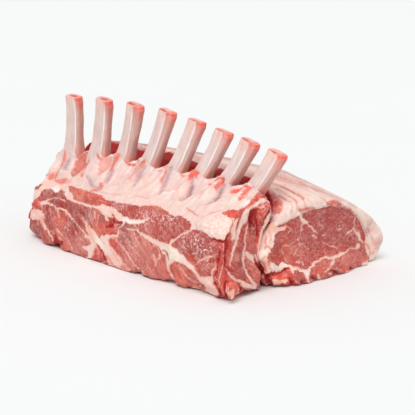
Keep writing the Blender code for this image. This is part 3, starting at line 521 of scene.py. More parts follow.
# Marks on the loin's cut face, and on the fat at its foot
eyeMarks = {
    "leftColumn": fatPatch([
        (252, 160), (300, 150), (330, 180), (345, 200), (336, 202), (326, 203), (318, 206), (310, 209),
        (304, 211), (300, 214), (293, 217), (288, 221), (286, 228), (284, 231), (277, 232),
        (274.5, 236), (273.5, 241), (274, 245), (272, 249), (270.5, 253), (268.5, 256), (269, 261),
        (270, 268), (271, 273), (268, 274.5), (266, 277), (262, 278), (250, 262), (252, 230),
        (256, 200),
    ]),
    "underEye": fatPatch([
        (269, 262), (273, 262), (275, 264), (278, 265.5), (280, 263.5), (283, 262), (286, 264),
        (291, 265), (296, 266), (300, 268), (304, 270), (309, 270), (310, 275), (312, 281), (307, 280),
        (304, 275), (300, 271), (296, 270), (293, 273), (291, 273), (291, 269), (289, 267.5),
        (287, 268.5), (284, 270), (281, 271.3), (277, 272), (272, 271.5), (268, 270),
    ]),
    "bottomRim": fatPatch([
        (272, 279), (276, 278.5), (281, 280), (286, 279), (288, 281), (287, 284.5), (283, 284),
        (278, 285.5), (273, 284),
    ]),
    "footFleck": fatSeam([(295, 279.5, 0.5), (296, 281.5, 0.9), (296, 284, 0.6)]),
    "bottomColumn": fatSeam([(305, 271, 2), (307, 276, 2.2), (310, 282, 1.8)]),
    "eyeNotch": fatSeam([
        (299, 214, 1.4), (301, 218, 2.2), (304, 221, 2.2), (307, 224, 0.9), (311, 227, 0.9),
        (314, 230, 1.4), (316, 233, 0.7),
    ]),
    "eyeVein": fatSeam([(303, 222, 0.9), (302, 228, 0.8), (301, 235, 0.6), (298, 240, 0.5)]),
    "upperBlob": fatSeam([(312, 236, 0.6), (314, 236, 1), (316, 238, 0.6)]),
    "dotOne": fatSeam([(322, 235, 0.8), (324, 235, 0.9), (325, 234, 0.5)]),
    "dotTwo": fatSeam([(337, 229, 0.6), (340, 229, 0.9), (342, 229, 0.5)]),
    "rightFork": fatSeam([
        (356, 216, 0.9), (354, 221, 0.8), (354, 227, 0.9), (350, 231, 0.9), (346, 235, 0.7),
        (343, 239, 0.4),
    ]),
    "rightForkLow": fatSeam([
        (354, 227, 0.8), (356, 232, 0.9), (359, 237, 1.7), (361, 241, 0.8), (365, 242, 0.6),
    ]),
    "rightBlob": fatSeam([(358, 243, 1.2), (358, 246, 1.8), (357, 249, 1)]),
    "midVein": fatSeam([
        (323, 241, 0.5), (326, 244, 0.6), (330, 246, 0.8), (334, 247, 1.1), (337, 248, 0.6),
        (340, 252, 0.5), (343, 254, 0.7),
    ]),
    "lowSeam": fatSeam([
        (309, 270, 1.2), (312, 266, 1.6), (317, 261, 1.6), (322, 258, 1.4), (327, 257, 1.5),
        (332, 258, 1.4), (337, 256, 1.8), (342, 254, 2), (346, 252, 1.4), (350, 249, 1),
        (355, 248, 0.8), (358, 247, 0.8),
    ]),
    "lowFork": fatSeam([
        (334, 258, 1.6), (332, 262, 1.5), (331, 266, 1.2), (329, 270, 1.1), (326, 273, 1.4),
    ]),
    "bottomRight": fatSeam([
        (318, 274, 1), (318.5, 278, 1.7), (322, 281.5, 1.5), (328, 282, 0.9), (332, 280, 0.6),
    ]),
    "bottomFleck": fatSeam([(331, 275, 0.6), (334, 271.5, 1.1), (338, 268.5, 0.8)]),
    "rimRight": fatSeam([
        (336, 273, 0.6), (341, 274.5, 1.2), (347, 273.5, 1.5), (352, 270, 1.1), (357, 268, 0.7),
    ]),
    "capFoot": fatPatch([
        (362, 262), (367, 256), (371, 251), (377, 255), (372, 263), (366, 269), (360, 269),
    ]),
    "capFootRed": leanPatch([(363, 259), (367, 255), (369, 257), (365, 262)]),
    "leftVeinOne": fatSeam([
        (283, 240, 0.5), (283.5, 244, 0.5), (282.8, 249, 0.7), (283.5, 254, 0.6), (285.5, 259, 0.5),
        (288, 262.5, 0.5),
    ]),
    "leftVeinTwo": fatSeam([
        (286, 246, 0.8), (289, 245.5, 0.9), (293, 242.5, 0.6), (297, 239.5, 0.6), (301, 237, 0.5),
    ]),
    "leftVeinThree": fatSeam([(290, 249, 0.7), (293, 247, 0.5), (297, 245, 0.4), (303, 243, 0.5)]),
    "leftVeinFour": fatSeam([(298, 249, 0.4), (296, 252.5, 0.6), (293.5, 255.5, 0.5)]),
    "leftVeinSeven": fatSeam([(304, 246, 0.5), (307, 248, 0.8), (309, 250, 0.4)]),
    "leftVeinFive": fatSeam([(286, 227, 0.6), (291, 229, 0.7), (288, 233, 0.5)]),
    "leftVeinSix": fatSeam([(296, 262, 0.5), (302, 262, 0.7), (304, 265, 0.5)]),
    "tornFlesh": leanPatch([
        (275, 221), (280, 218), (285, 220), (289, 217), (287, 225), (281, 227), (276, 225),
    ], 0.4),
    "innerWall": leanPatch([
        (262, 184), (271, 186), (277, 193), (281, 202), (281, 211), (278, 217), (275, 222), (272, 218),
        (273, 208), (271, 200), (265, 194),
    ], 0.6),
    "pitOne": slit([(298, 210, 0.6), (300, 210.5, 1), (303, 209.5, 1), (306, 208, 0.6)], 0.9),
    "pitTwo": slit([(276, 213, 0.6), (278, 215, 0.9), (281, 217, 0.6)], 0.8),
    "pitThree": slit([(286, 217, 0.7), (288, 217, 1.1), (289, 220, 0.9)], 0.9),
    "columnHollow": slit([
        (271, 215, 0.8), (270, 218, 1.5), (269, 221, 1.8), (267, 224, 1.0), (265.5, 228, 0.4),
    ], 3.0),
    "bottomSlit": slit([
        (267, 276, 1.4), (270, 274.8, 1.6), (273.5, 273.6, 1.6), (277, 272.8, 0.8), (281, 272.2, 0.7),
        (285, 270.6, 0.7), (288, 269.5, 0.5),
    ], 1.8),
    "notchOne": slit([(291, 288, 1.4), (292, 283, 1), (290, 278, 0.5)], 2.4),
    "notchTwo": slit([(303, 287, 1.2), (302, 281, 0.8)], 2.0),
    "notchThree": slit([(316, 284, 1.8), (315, 279, 1.1), (313, 275, 0.5)], 2.6),
    "notchFour": slit([(338, 278, 1.8), (336, 273, 1.1), (333, 270, 0.5)], 2.6),
    "notchFive": slit([(352, 271, 1.2), (351, 267, 0.7)], 2.0),
    "footGap": slit([
        (257, 262, 0.6), (260, 267.5, 1), (263, 273, 1), (266, 278, 1.2), (269, 283, 2), (271, 288, 2),
    ], 1.8),
}

# Colour of the loin's lean, as in leanShades
eyeShades = {
    "eyeTop": ((330, 214), (24, 10), "claret"),
    "eyeMiddle": ((328, 235), (26, 14), "claret"),
    "eyeLow": ((325, 250), (18, 8), "garnet"),
    "eyeEdgeTop": ((333, 202), (10, 3), "coral"),
    "eyeLeft": ((292, 230), (10, 9), "garnet"),
    "eyeLeftLow": ((290, 252), (12, 11), "salmon"),
    "eyeLeftEdge": ((279, 246), (6, 14), "garnet"),
    "eyeFoot": ((304, 262), (10, 7), "garnet"),
    "sideMuscle": ((361, 224), (6, 12), "garnet"),
    "sideLow": ((364, 250), (5, 10), "garnet"),
    "underRight": ((352, 258), (12, 7), "salmon"),
    "rimRed": ((350, 269), (7, 2.5), "ember"),
    "capFootRed": ((366, 258), (3, 4), "coral"),
    "nearRed": ((320, 272), (6, 2), "ember"),
    "underMiddle": ((324, 266), (9, 7), "salmon"),
    "redFoot": ((280, 276), (9, 4), "ember"),
    "redFootTwo": ((297, 276), (7, 5), "garnet"),
    "redSpot": ((293, 282), (4, 2.5), "scarlet"),
    "hook": ((290, 270), (2.5, 4), "ember"),
    "hookCoral": ((272, 257), (3.5, 6), "coral"),
    "leftDark": ((277, 248), (3, 5), "deep"),
    "tornFlesh": ((282, 222), (7, 5), "coral"),
    "innerWall": ((274, 200), (8, 14), "wine"),
    # innerTop is painted shade in the dark crescent at the cleft's mouth
    "innerTop": ((266, 192), (4, 6), "dark"),
}

# Colour of the fat round it and in the cleft's mouth
eyeFatShades = {
    "column": ((269, 240), (7, 9), "cream"),
    "columnTop": ((270, 229), (5, 4), "apricot"),
    "columnKnot": ((265, 253), (5, 5), "ivory"),
    "columnFoot": ((265, 267), (4, 6), "apricot"),
    "columnEdge": ((262, 244), (2, 6), "blush"),
    "underEye": ((280, 267), (12, 4), "ivory"),
    "underRight": ((303, 272), (8, 6), "cream"),
    "topFat": ((295, 205), (14, 8), "ivory"),
    "bottomRim": ((280, 282), (10, 3), "apricot"),
}

# Creases in the fat at the cleft's mouth
eyeDressing = {
    "creaseTop": ([(265.5, 236, 0.5), (265.3, 240, 0.9), (265.5, 244, 0.5)], 0.6, "flesh"),
    "creaseTwo": ([(269, 232, 0.5), (271, 238, 0.5), (270, 244, 0.5)], 0.4, "vein"),
    "knotTop": ([(265, 248, 0.8), (267, 246.5, 0.7), (270, 248, 0.6), (272, 251, 0.6)], 0.8, "flesh"),
    "knotLeft": ([(255, 252, 0.8), (255.5, 257, 0.9), (257, 261, 0.7)], 0.8, "flesh"),
    "knotFoot": ([(259, 261.5, 0.5), (263, 260, 0.7), (266, 257, 0.6)], 0.8, "vein"),
    "footCrease": ([(262, 262, 0.5), (264, 266, 0.7), (266, 271, 0.6)], 0.6, "flesh"),
    "redMark": ([
        (269.7, 254, 1.2), (269.8, 259, 0.9), (269.3, 264, 0.9), (269, 266, 0.4),
    ], 0.5, "ember"),
    "underCrease": ([(270, 268, 0.5), (272.5, 270.5, 0.6)], 0.5, "flesh"),
    "rimPink": ([(293, 266, 0.5), (297, 268, 0.7), (301, 270, 0.5)], 0.3, "vein"),
}

# Where the loin's lean is marbled: its middle, how far it reaches (px), how strongly
eyeMarbling = {
    "left": ((292, 250), (12, 11), 0.8),
    "right": ((352, 236), (7, 10), 0.5),
    "low": ((330, 252), (16, 6), 0.4),
    "foot": ((345, 262), (16, 6), 0.4),
}

# Long folds that show on top of the fat, (across, down, half width), depth, shade
capDressing = {
    "foldOne": ([
        (270, 182.7, 0.4), (275, 184, 0.6), (281, 186, 0.8), (286, 188.3, 1.0), (291, 190.3, 0.9),
        (296, 192.7, 1.1), (300, 195, 1.1), (303.5, 197.7, 0.9),
    ], 0.9, "raw"),
    "foldTwo": ([
        (278, 194.6, 0.7), (281, 196, 1.1), (283.3, 197.7, 1.3), (286, 199, 0.8), (289, 200.7, 0.6),
    ], 0.9, "raw"),
    "foldThree": ([
        (284.7, 193, 0.3), (289, 195.4, 0.5), (293, 197.8, 0.6), (296.7, 201.3, 0.6), (298, 205, 0.6),
        (299.5, 209.5, 0.8),
    ], 0.7, "flesh"),
    "foldFour": ([(300, 211, 1), (303, 209.8, 1.1), (307, 208.6, 0.8), (313, 207, 0.5)], 0.6, "raw"),
    "foldFive": ([
        (321, 197, 0.5), (324, 198.6, 0.8), (326.5, 201.5, 0.8), (328, 203.5, 0.5),
    ], 0.5, "flesh"),
    "foldSix": ([(272, 188, 0.4), (279, 190, 0.5), (285, 193, 0.4)], 0.5, "vein"),
    "foldSeven": ([(303, 199, 0.4), (305, 203, 0.5), (306, 207, 0.5)], 0.5, "vein"),
    "skyline": ([
        (270, 174, 2.4), (280, 176.5, 2.2), (292, 180.5, 1.8), (304, 184.5, 1.4), (318, 190, 1),
        (333, 196, 0.6),
    ], 0.2, "skyline"),
    "skylineLow": ([
        (274, 178.5, 0.5), (286, 181.5, 0.7), (298, 185.5, 0.6), (308, 189, 0.4),
    ], 0.4, "vein"),
    "drapeOne": ([(285, 200, 0.4), (287, 206, 0.5), (287, 212, 0.5)], 0.7, "silk"),
    "drapeTwo": ([(291, 201, 0.5), (292.5, 207, 0.6), (291.5, 213, 0.5)], 0.7, "vein"),
    "drapeThree": ([
        (277.5, 196, 0.8), (280.5, 202, 1.2), (280.5, 208, 1.2), (278.5, 213, 0.8),
    ], 1.0, "flesh"),
    "drapeFour": ([(296.5, 203, 0.4), (297.5, 208, 0.5), (297, 212, 0.4)], 0.5, "vein"),
    "sideLine": ([(367, 228, 0.5), (370, 233, 0.7), (372, 238, 0.7), (374, 243, 0.4)], 0.3, "flesh"),
    "sideLineTwo": ([(367, 244, 0.6), (370, 250, 0.8), (370, 256, 0.6)], 0.3, "flesh"),
    "sideStripe": ([(373, 237, 0.6), (376, 243, 1.2), (375, 250, 1.2), (371, 256, 0.8)], 0.2, "vein"),
}

# Bare red flesh at the mouth of the cleft and over the far left of the fat
capFlesh = {
    "wall": ([
        (258, 180), (266, 185), (271, 188.5), (275, 193), (278, 197), (279, 203), (279.5, 208),
        (278, 214), (275, 218), (270, 222), (262, 220), (256, 200),
    ], "wine"),
    "wallEdge": ([
        (278, 201), (281, 202.5), (281.7, 206), (280.5, 210), (278.5, 214), (277, 209), (277.5, 204),
    ], "coral"),
    "wallTop": ([
        (266, 184), (271, 187.5), (275.5, 192.5), (278.5, 197.5), (276, 202), (272, 197), (268, 190),
    ], "salmon"),
    "wallFoot": ([(274, 216), (279, 213), (281, 217), (277, 222), (272, 222)], "silk"),
    "eyePeak": ([
        (317, 211), (321, 207.5), (325, 205), (327.5, 202), (331, 200.5), (335, 200.5), (338, 202),
        (341, 205), (347, 207), (352, 211), (346, 213), (330, 213),
    ], "garnet"),
    "eyePeakTop": ([
        (325, 206), (328, 202), (331, 200.3), (335, 200.3), (338, 202.5), (336, 205), (330, 205),
    ], "coral"),
    "eyeShoulder": ([
        (339, 203), (346, 206), (353, 211), (357, 216), (353, 218), (346, 211), (338, 208),
    ], "garnet"),
    # wallShade is painted shade in the dark crescent at the cleft's mouth
    "wallShade": ([
        (258, 184), (265, 188), (269, 193), (272, 199), (273.5, 206), (274, 213), (266, 216),
        (256, 204),
    ], "deep"),
    "leftEnd": ([
        (74, 134), (100, 132), (122, 137), (134, 143), (136, 152), (110, 160), (76, 160),
    ], "wine"),
    "leftBand": ([(130, 144), (150, 145), (164, 149), (162, 154), (132, 151)], "wine"),
}

# The shadow in the cleft
capMarks = {
    "cleft": darkPatch([
        (80, 154), (82, 146), (90, 141), (100, 141.5), (111, 142.5), (120, 144), (134, 148), (146, 151),
        (160, 152), (172, 153.5), (186, 158), (195, 162), (210, 166), (224, 169), (238, 174),
        (250, 177.5), (260, 183), (264, 190), (262, 200), (240, 200), (200, 196), (150, 180),
        (100, 165),
    ]),
    "mouth": darkPatch([
        (263, 187), (266.5, 188.5), (269.5, 192.5), (271.3, 197), (272.8, 202), (273.5, 208),
        (272.5, 212), (271, 206), (268, 200), (262, 197),
    ]),
}

# sRGB, 0 to 255; gleam is painted highlight and cleft the colour of painted shadow
shades = {
    "brown": (150, 54, 48), "rust": (185, 78, 73), "crimson": (189, 72, 63),
    "scarlet": (216, 65, 53), "coral": (222, 99, 78), "rose": (214, 122, 109),
    "mauve": (166, 88, 88), "dark": (143, 32, 31), "cream": (250, 224, 210),
    "ivory": (254, 236, 220), "blush": (246, 202, 188), "skin": (230, 202, 196),
    "apricot": (250, 186, 158), "wax": (246, 216, 190), "lilac": (188, 148, 152),
    "flesh": (232, 120, 98), "raw": (220, 82, 66), "mottle": (246, 196, 186),
    "membrane": (243, 206, 196), "rind": (196, 146, 135), "vein": (236, 164, 150),
    "wine": (176, 80, 74), "cleft": (160, 10, 10), "russet": (162, 55, 49), "silk": (243, 211, 201),
    "rosy": (208, 100, 84), "plum": (164, 118, 124), "speckle": (232, 160, 146),
    "blaze": (252, 92, 66), "skyline": (216, 156, 144), "claret": (180, 74, 68),
    "garnet": (190, 72, 62), "salmon": (214, 104, 88), "ribFlank": (198, 144, 132),
    "ember": (242, 88, 64), "fatRim": (250, 192, 172), "deep": (158, 40, 36),
    "thread": (242, 172, 156), "gleam": (255, 243, 238), "boneGrey": (224, 202, 195),
    "bonePale": (227, 209, 204), "tipFace": (248, 196, 182),
}


def linear(name):
    srgb = np.array(shades[name]) / 255.0
    return np.where(srgb < 0.04045, srgb / 12.92, ((srgb + 0.055) / 1.055) ** 2.4)


# Meshes
weldGap = 0.01 * mm


def readMesh(mesh):
    bm = bmesh.new()
    bm.from_mesh(mesh)
    bm.normal_update()
    return bm


def writeMesh(bm, mesh):
    bm.to_mesh(mesh)
    bm.free()


def mergedNode(name):
    bm = readMesh(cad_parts[name].data)
    bmesh.ops.remove_doubles(bm, verts=bm.verts, dist=weldGap)
    bm.normal_update()
    return bm


def grow(bm, distance):
    places = [vert.co + vert.normal * distance for vert in bm.verts]
    for vert, place in zip(bm.verts, places):
        vert.co = place


def pieceFrom(name, bodies):
    mesh = bpy.data.meshes.new(name)
    whole = bmesh.new()
    for body in bodies:
        part = bpy.data.meshes.new("part")
        writeMesh(body, part)
        whole.from_mesh(part)
        bpy.data.meshes.remove(part)
    writeMesh(whole, mesh)
    piece = bpy.data.objects.new(name, mesh)
    bpy.context.scene.collection.objects.link(piece)
    return piece


def relax(bm, verts, turns):
    for turn in range(turns):
        bmesh.ops.smooth_vert(
            bm, verts=verts, factor=0.5, use_axis_x=True, use_axis_y=True, use_axis_z=True
        )


def voxelSkin(piece, look):
    step = piece.modifiers.new("skin", "REMESH")
    step.mode = "VOXEL"
    step.voxel_size = look["voxel"]
    graph = bpy.context.evaluated_depsgraph_get()
    skinned = bpy.data.meshes.new_from_object(piece.evaluated_get(graph))
    piece.modifiers.clear()
    old = piece.data
    piece.data = skinned
    bpy.data.meshes.remove(old)
    bm = readMesh(skinned)
    relax(bm, bm.verts, look["relaxTurns"])
    writeMesh(bm, skinned)


def soften(piece, wanted, turns):
    bm = readMesh(piece.data)
    relax(bm, [vert for vert in bm.verts if wanted(vert.co, vert.normal)], turns)
    writeMesh(bm, piece.data)


def refine(piece, wanted):
    bm = readMesh(piece.data)
    faces = [face for face in bm.faces if wanted(face.calc_center_median(), face.normal)]
    bounding = {edge for face in faces for edge in face.edges}
    edges = [edge for edge in bm.edges if edge in bounding]
    bmesh.ops.subdivide_edges(bm, edges=edges, cuts=1, use_grid_fill=True)
    relax(bm, [vert for vert in bm.verts if wanted(vert.co, vert.normal)], 1)
    bmesh.ops.triangulate(bm, faces=[face for face in bm.faces if len(face.verts) > 4])
    writeMesh(bm, piece.data)


def shapeOf(piece):
    found = []
    for items, field in ((piece.data.vertices, "co"), (piece.data.vertex_normals, "vector")):
        values = np.empty(len(items) * 3, np.float32)
        items.foreach_get(field, values)
        found.append(values.reshape(-1, 3).astype(float))
    return found


def place(piece, points):
    inside = np.clip(points, np.array(cadLow), np.array(cadHigh))
    piece.data.vertices.foreach_set("co", inside.astype(np.float32).ravel())
    piece.data.update()


def keep(piece, name, values, kind="FLOAT", field="value"):
    attribute = piece.data.attributes.new(name, kind, "POINT")
    attribute.data.foreach_set(field, values.astype(np.float32).ravel())


def keepColour(piece, name, values):
    full = np.concatenate([values, np.ones((len(values), 1))], axis=1)
    keep(piece, name, full, "FLOAT_COLOR", "color")


# Fields over a piece's points
def ramp(low, high, values):
    share = np.clip((values - low) / (high - low), 0.0, 1.0)
    return share * share * (3.0 - 2.0 * share)


def lumps(points, size, seed):
    moved = points / size + np.array((seed, 1.7 * seed, -seed))
    return np.array([noise.noise(Vector(point)) for point in moved])


def longLumps(points, share, size, seed):
    return lumps(points * np.array((share, 1, 1)), size, seed)


def lumpsEach(points, size, *seeds):
    return np.stack([lumps(points, size, seed) for seed in seeds], axis=1)


def smoothLine(points, closed, step):
    knots = np.array(points, float)
    count = len(knots)
    found = []
    for index in range(count if closed else count - 1):
        if closed:
            a, b, c, d = (knots[(index + k) % count] for k in (-1, 0, 1, 2))
        else:
            a, b, c, d = (knots[min(count - 1, max(0, index + k))] for k in (-1, 0, 1, 2))
        steps = max(2, int(np.linalg.norm((c - b)[:2]) / step))
        t = (np.arange(steps) / steps)[:, None]
        curve = 2 * b + (c - a) * t + (2 * a - 5 * b + 4 * c - d) * t**2
        found.append(0.5 * (curve + (3 * b - a - 3 * c + d) * t**3))
    if not closed:
        found.append(knots[-1:])
    return np.concatenate(found)


farAway = 6.0  # pixels past which a mark has no say
markLook = {
    "outlineStep": 1.6,  # how closely outlines and lines are followed (px)
    "lineStep": 0.7,
    "batch": 4000,  # points measured at a time
    "darkEdge": (-1.2, 0.4),  # where each kind of edge starts and is full (px inside the mark)
    "sinkEdge": (-1.6, 0.6),
    "crispEdge": (-1.0, 0.7),
    "crispSink": (-1.6, 0.8),
    "softEdge": (-1.8, 1.4),
    "softSink": (-4.0, 1.0),
    "crispShare": 0.92,
    "softShare": 0.85,
    "shadeFall": 1.4,  # how quickly a patch of colour gives way to the next
    "baseWeight": 0.1,
    "stirSizes": (5 * mm, 2 * mm),
    "seenFrom": (-0.2, -0.02),
}


def insideOutline(spots, line):
    following = np.roll(line, -1, axis=0)
    x, y = spots[:, :1], spots[:, 1:]
    spans = (line[None, :, 1] > y) != (following[None, :, 1] > y)
    rise = following[:, 1] - line[:, 1]
    rise = np.where(np.abs(rise) < 1e-9, 1e-9, rise)
    crossing = line[None, :, 0] + (y - line[None, :, 1]) * ((following - line)[:, 0] / rise)[None]
    return (spans & (x < crossing)).sum(1) % 2 == 1


# How many pixels inside a mark each spot lies; below zero it lies outside
def markDepth(spots, points, closed):
    line = smoothLine(points, closed, markLook["outlineStep" if closed else "lineStep"])
    low, high = line[:, :2].min(0) - farAway, line[:, :2].max(0) + farAway
    near = np.flatnonzero(np.all((spots > low) & (spots < high), axis=1))
    depth = np.full(len(spots), -farAway)
    for start in range(0, len(near), markLook["batch"]):
        chosen = near[start:start + markLook["batch"]]
        some = spots[chosen]
        across = some[:, :1] - line[None, :, 0]
        down = some[:, 1:] - line[None, :, 1]
        gap = np.sqrt(across**2 + down**2)
        if closed:
            edge = gap.min(1)
            depth[chosen] = np.where(insideOutline(some, line), edge, -edge)
        else:
            depth[chosen] = (line[None, :, 2] - gap).max(1)
    return np.maximum(depth, -farAway)


# How far each spot is inside fat, how dark it is painted as shade, and how far it is sunk
def markFields(spots, marks):
    fat = np.full(len(spots), -farAway)
    dark = np.zeros(len(spots))
    sink = np.zeros(len(spots))
    for mark in marks.values():
        depth = markDepth(spots, mark["points"], mark["closed"])
        if mark["to"] == "fat":
            fat = np.maximum(fat, depth)
        else:
            fat = np.minimum(fat, -depth)
        if mark["to"] == "dark":
            dark = np.maximum(dark, ramp(*markLook["darkEdge"], depth))
        sink = sink + mark["depth"] * ramp(*markLook["sinkEdge"], depth)
    return fat, dark, sink


def nearness(spots, middle, reach, fall):
    away = ((spots - np.array(middle)) / np.array(reach)) ** 2
    return np.exp(-fall * (away[:, 0] + away[:, 1]))


def shaded(spots, patches, base):
    total = np.tile(linear(base) * markLook["baseWeight"], (len(spots), 1))
    weights = np.full(len(spots), markLook["baseWeight"])
    for middle, reach, shade in patches.values():
        weight = nearness(spots, middle, reach, markLook["shadeFall"])
        total += weight[:, None] * linear(shade)
        weights += weight
    return total / weights[:, None]


def gathered(spots, patches):
    total = np.zeros(len(spots))
    for middle, reach, strength in patches.values():
        total += strength * nearness(spots, middle, reach, 1.0)
    return np.minimum(total, 1.0)


def plainColour(points, shade):
    return np.tile(linear(shade), (len(points), 1))


def tinted(colours, shade, share):
    return colours * (1 - share[:, None]) + linear(shade) * share[:, None]


def painted(colours, *coats):
    for shade, share in coats:
        colours = tinted(colours, shade, share)
    return colours


# Lines of a shade laid over the colours, and how far they are sunk
def dressed(colours, spots, seen, mottling, dressing):
    sink = np.zeros(len(spots))
    for line, depth, shade in dressing.values():
        deep = markDepth(spots, line, False)
        raggedness = 0.5 * min(1.0, max(spot[2] for spot in line) / 2.0)
        # lilac paints shade into a wide soft hollow
        if shade == "lilac":  # a wide soft hollow; the other marks have crisp edges
            reach = ramp(*markLook["softEdge"], deep + 0.4 * mottling)
            colours = tinted(colours, shade, markLook["softShare"] * reach * seen)
            sink += 2.0 * depth * ramp(*markLook["softSink"], deep) * seen
        else:
            reach = ramp(*markLook["crispEdge"], deep + raggedness * mottling)
            colours = tinted(colours, shade, markLook["crispShare"] * reach * seen)
            sink += depth * ramp(*markLook["crispSink"], deep) * seen
    return colours, sink


# Spots moved by a pixel or two, which makes the marks' edges ragged
def stirred(spots, points, seed, broad, fine):
    broadSize, fineSize = markLook["stirSizes"]
    broadMove = lumpsEach(points, broadSize, seed, seed + 12)
    fineMove = lumpsEach(points, fineSize, seed + 3, seed + 15)
    return spots + broad * broadMove + fine * fineMove


# Lumps drawn out along one direction of the frame
def drawnOut(spots, direction, wide, long, seed):
    ahead = np.array(direction) / np.linalg.norm(direction)
    beside = spots @ np.array((ahead[1], -ahead[0]))
    flat = np.stack([beside / wide, spots @ ahead / long, np.full(len(spots), seed)], axis=1)
    return lumps(flat, 1.0, 0.0)


# Where each point shows in the frame, and how much it is seen. The left end, which doesn't
# show, borrows the marks of the carved right end.
def carvedSpots(points, normals, hidden):
    back = (points[:, 0] < hidden["from"]) & (normals[:, 0] < -0.35)
    turned = points.copy()
    turned[back, 0] *= -1
    turned[back, 1] = hidden["y"][1] + (points[back, 1] - hidden["y"][0]) * hidden["stretchY"]
    turned[back, 2] *= hidden["stretchZ"]
    facing = normals.copy()
    facing[back, 0] *= -1
    toCamera = np.array(photoView["place"]) - turned
    toCamera /= np.linalg.norm(toCamera, axis=1)[:, None]
    seen = ramp(*markLook["seenFrom"], (toCamera * facing).sum(1))
    return photoSpots(turned), seen


# Materials. A noise scale is in cells a metre, so a larger one is finer
fleshLook = {
    "blotchScale": 230.0,
    "patchScale": 75.0,  # where marbling and glints gather
    "glintScale": 620.0,
    "threadScale": 120.0,
    "raggedScale": 480.0,
    "ragged": 0.45,
    "shineScale": 300.0,
    "warpScale": 140.0,
    "warpReach": 7 * mm,
    "soft": 0.12,  # how much light goes through, how far, and how far each colour
    "softReach": 2.0 * mm,
    "softColours": (1.0, 0.35, 0.25),
    "shine": 0.32,
}


def startMaterial(name):
    material = bpy.data.materials.new(name)
    material.use_nodes = True
    tree = material.node_tree
    return material, tree, tree.nodes["Principled BSDF"]


def nodeIn(tree, kind, links, **settings):
    node = tree.nodes.new(kind)
    for key, value in settings.items():
        setattr(node, key, value)
    for key, value in links.items():
        if isinstance(value, bpy.types.NodeSocket):
            tree.links.new(value, node.inputs[key])
        else:
            node.inputs[key].default_value = value
    return node


def kept(tree, name, output="Fac"):
    return nodeIn(tree, "ShaderNodeAttribute", {}, attribute_name=name).outputs[output]


def between(tree, value, low, high, lowest=0.0, highest=1.0):
    links = {"Value": value, "From Min": low, "From Max": high, "To Min": lowest, "To Max": highest}
    return nodeIn(tree, "ShaderNodeMapRange", links, interpolation_type="SMOOTHSTEP").outputs[0]


def maths(tree, operation, first, second=0.0):
    return nodeIn(tree, "ShaderNodeMath", {0: first, 1: second}, operation=operation).outputs[0]


def product(tree, first, *others):
    for other in others:
        first = maths(tree, "MULTIPLY", first, other)
    return first


def blendColour(tree, share, first, second):
    links = {0: share, 6: first, 7: second}
    return nodeIn(tree, "ShaderNodeMix", links, data_type="RGBA").outputs[2]


def stained(tree, colour, share, shade):
    return blendColour(tree, share, colour, (*linear(shade), 1.0))


def plainPlace(tree):
    return nodeIn(tree, "ShaderNodeTexCoord", {}).outputs["Object"]


def fibrePlace(tree, stretch, turn):
    angles = [math.radians(angle) for angle in turn]
    links = {"Vector": plainPlace(tree), "Scale": stretch, "Rotation": angles}
    return nodeIn(tree, "ShaderNodeMapping", links, vector_type="TEXTURE").outputs[0]


def cloud(tree, spot, scale, detail=2.0, rough=0.5, stir=0.0):
    links = {"Vector": spot, "Scale": scale, "Detail": detail, "Roughness": rough, "Distortion": stir}
    return nodeIn(tree, "ShaderNodeTexNoise", links).outputs[0]


# Each wash is a pattern, where it starts and is full, how strong it is then, and its shade
def washed(tree, colour, *washes):
    for pattern, start, full, most, shade in washes:
        colour = stained(tree, colour, between(tree, pattern, start, full, 0.0, most), shade)
    return colour


def finishMaterial(tree, shader, colour, rough, height, look):
    links = {"Height": height, "Strength": look["bump"], "Distance": look["bumpReach"]}
    bump = nodeIn(tree, "ShaderNodeBump", links).outputs[0]
    for name, socket in (("Base Color", colour), ("Roughness", rough), ("Normal", bump)):
        tree.links.new(socket, shader.inputs[name])
    shader.inputs["Subsurface Weight"].default_value = fleshLook["soft"]
    shader.inputs["Subsurface Radius"].default_value = fleshLook["softColours"]
    shader.inputs["Subsurface Scale"].default_value = fleshLook["softReach"]
    shader.inputs["Specular IOR Level"].default_value = fleshLook["shine"]


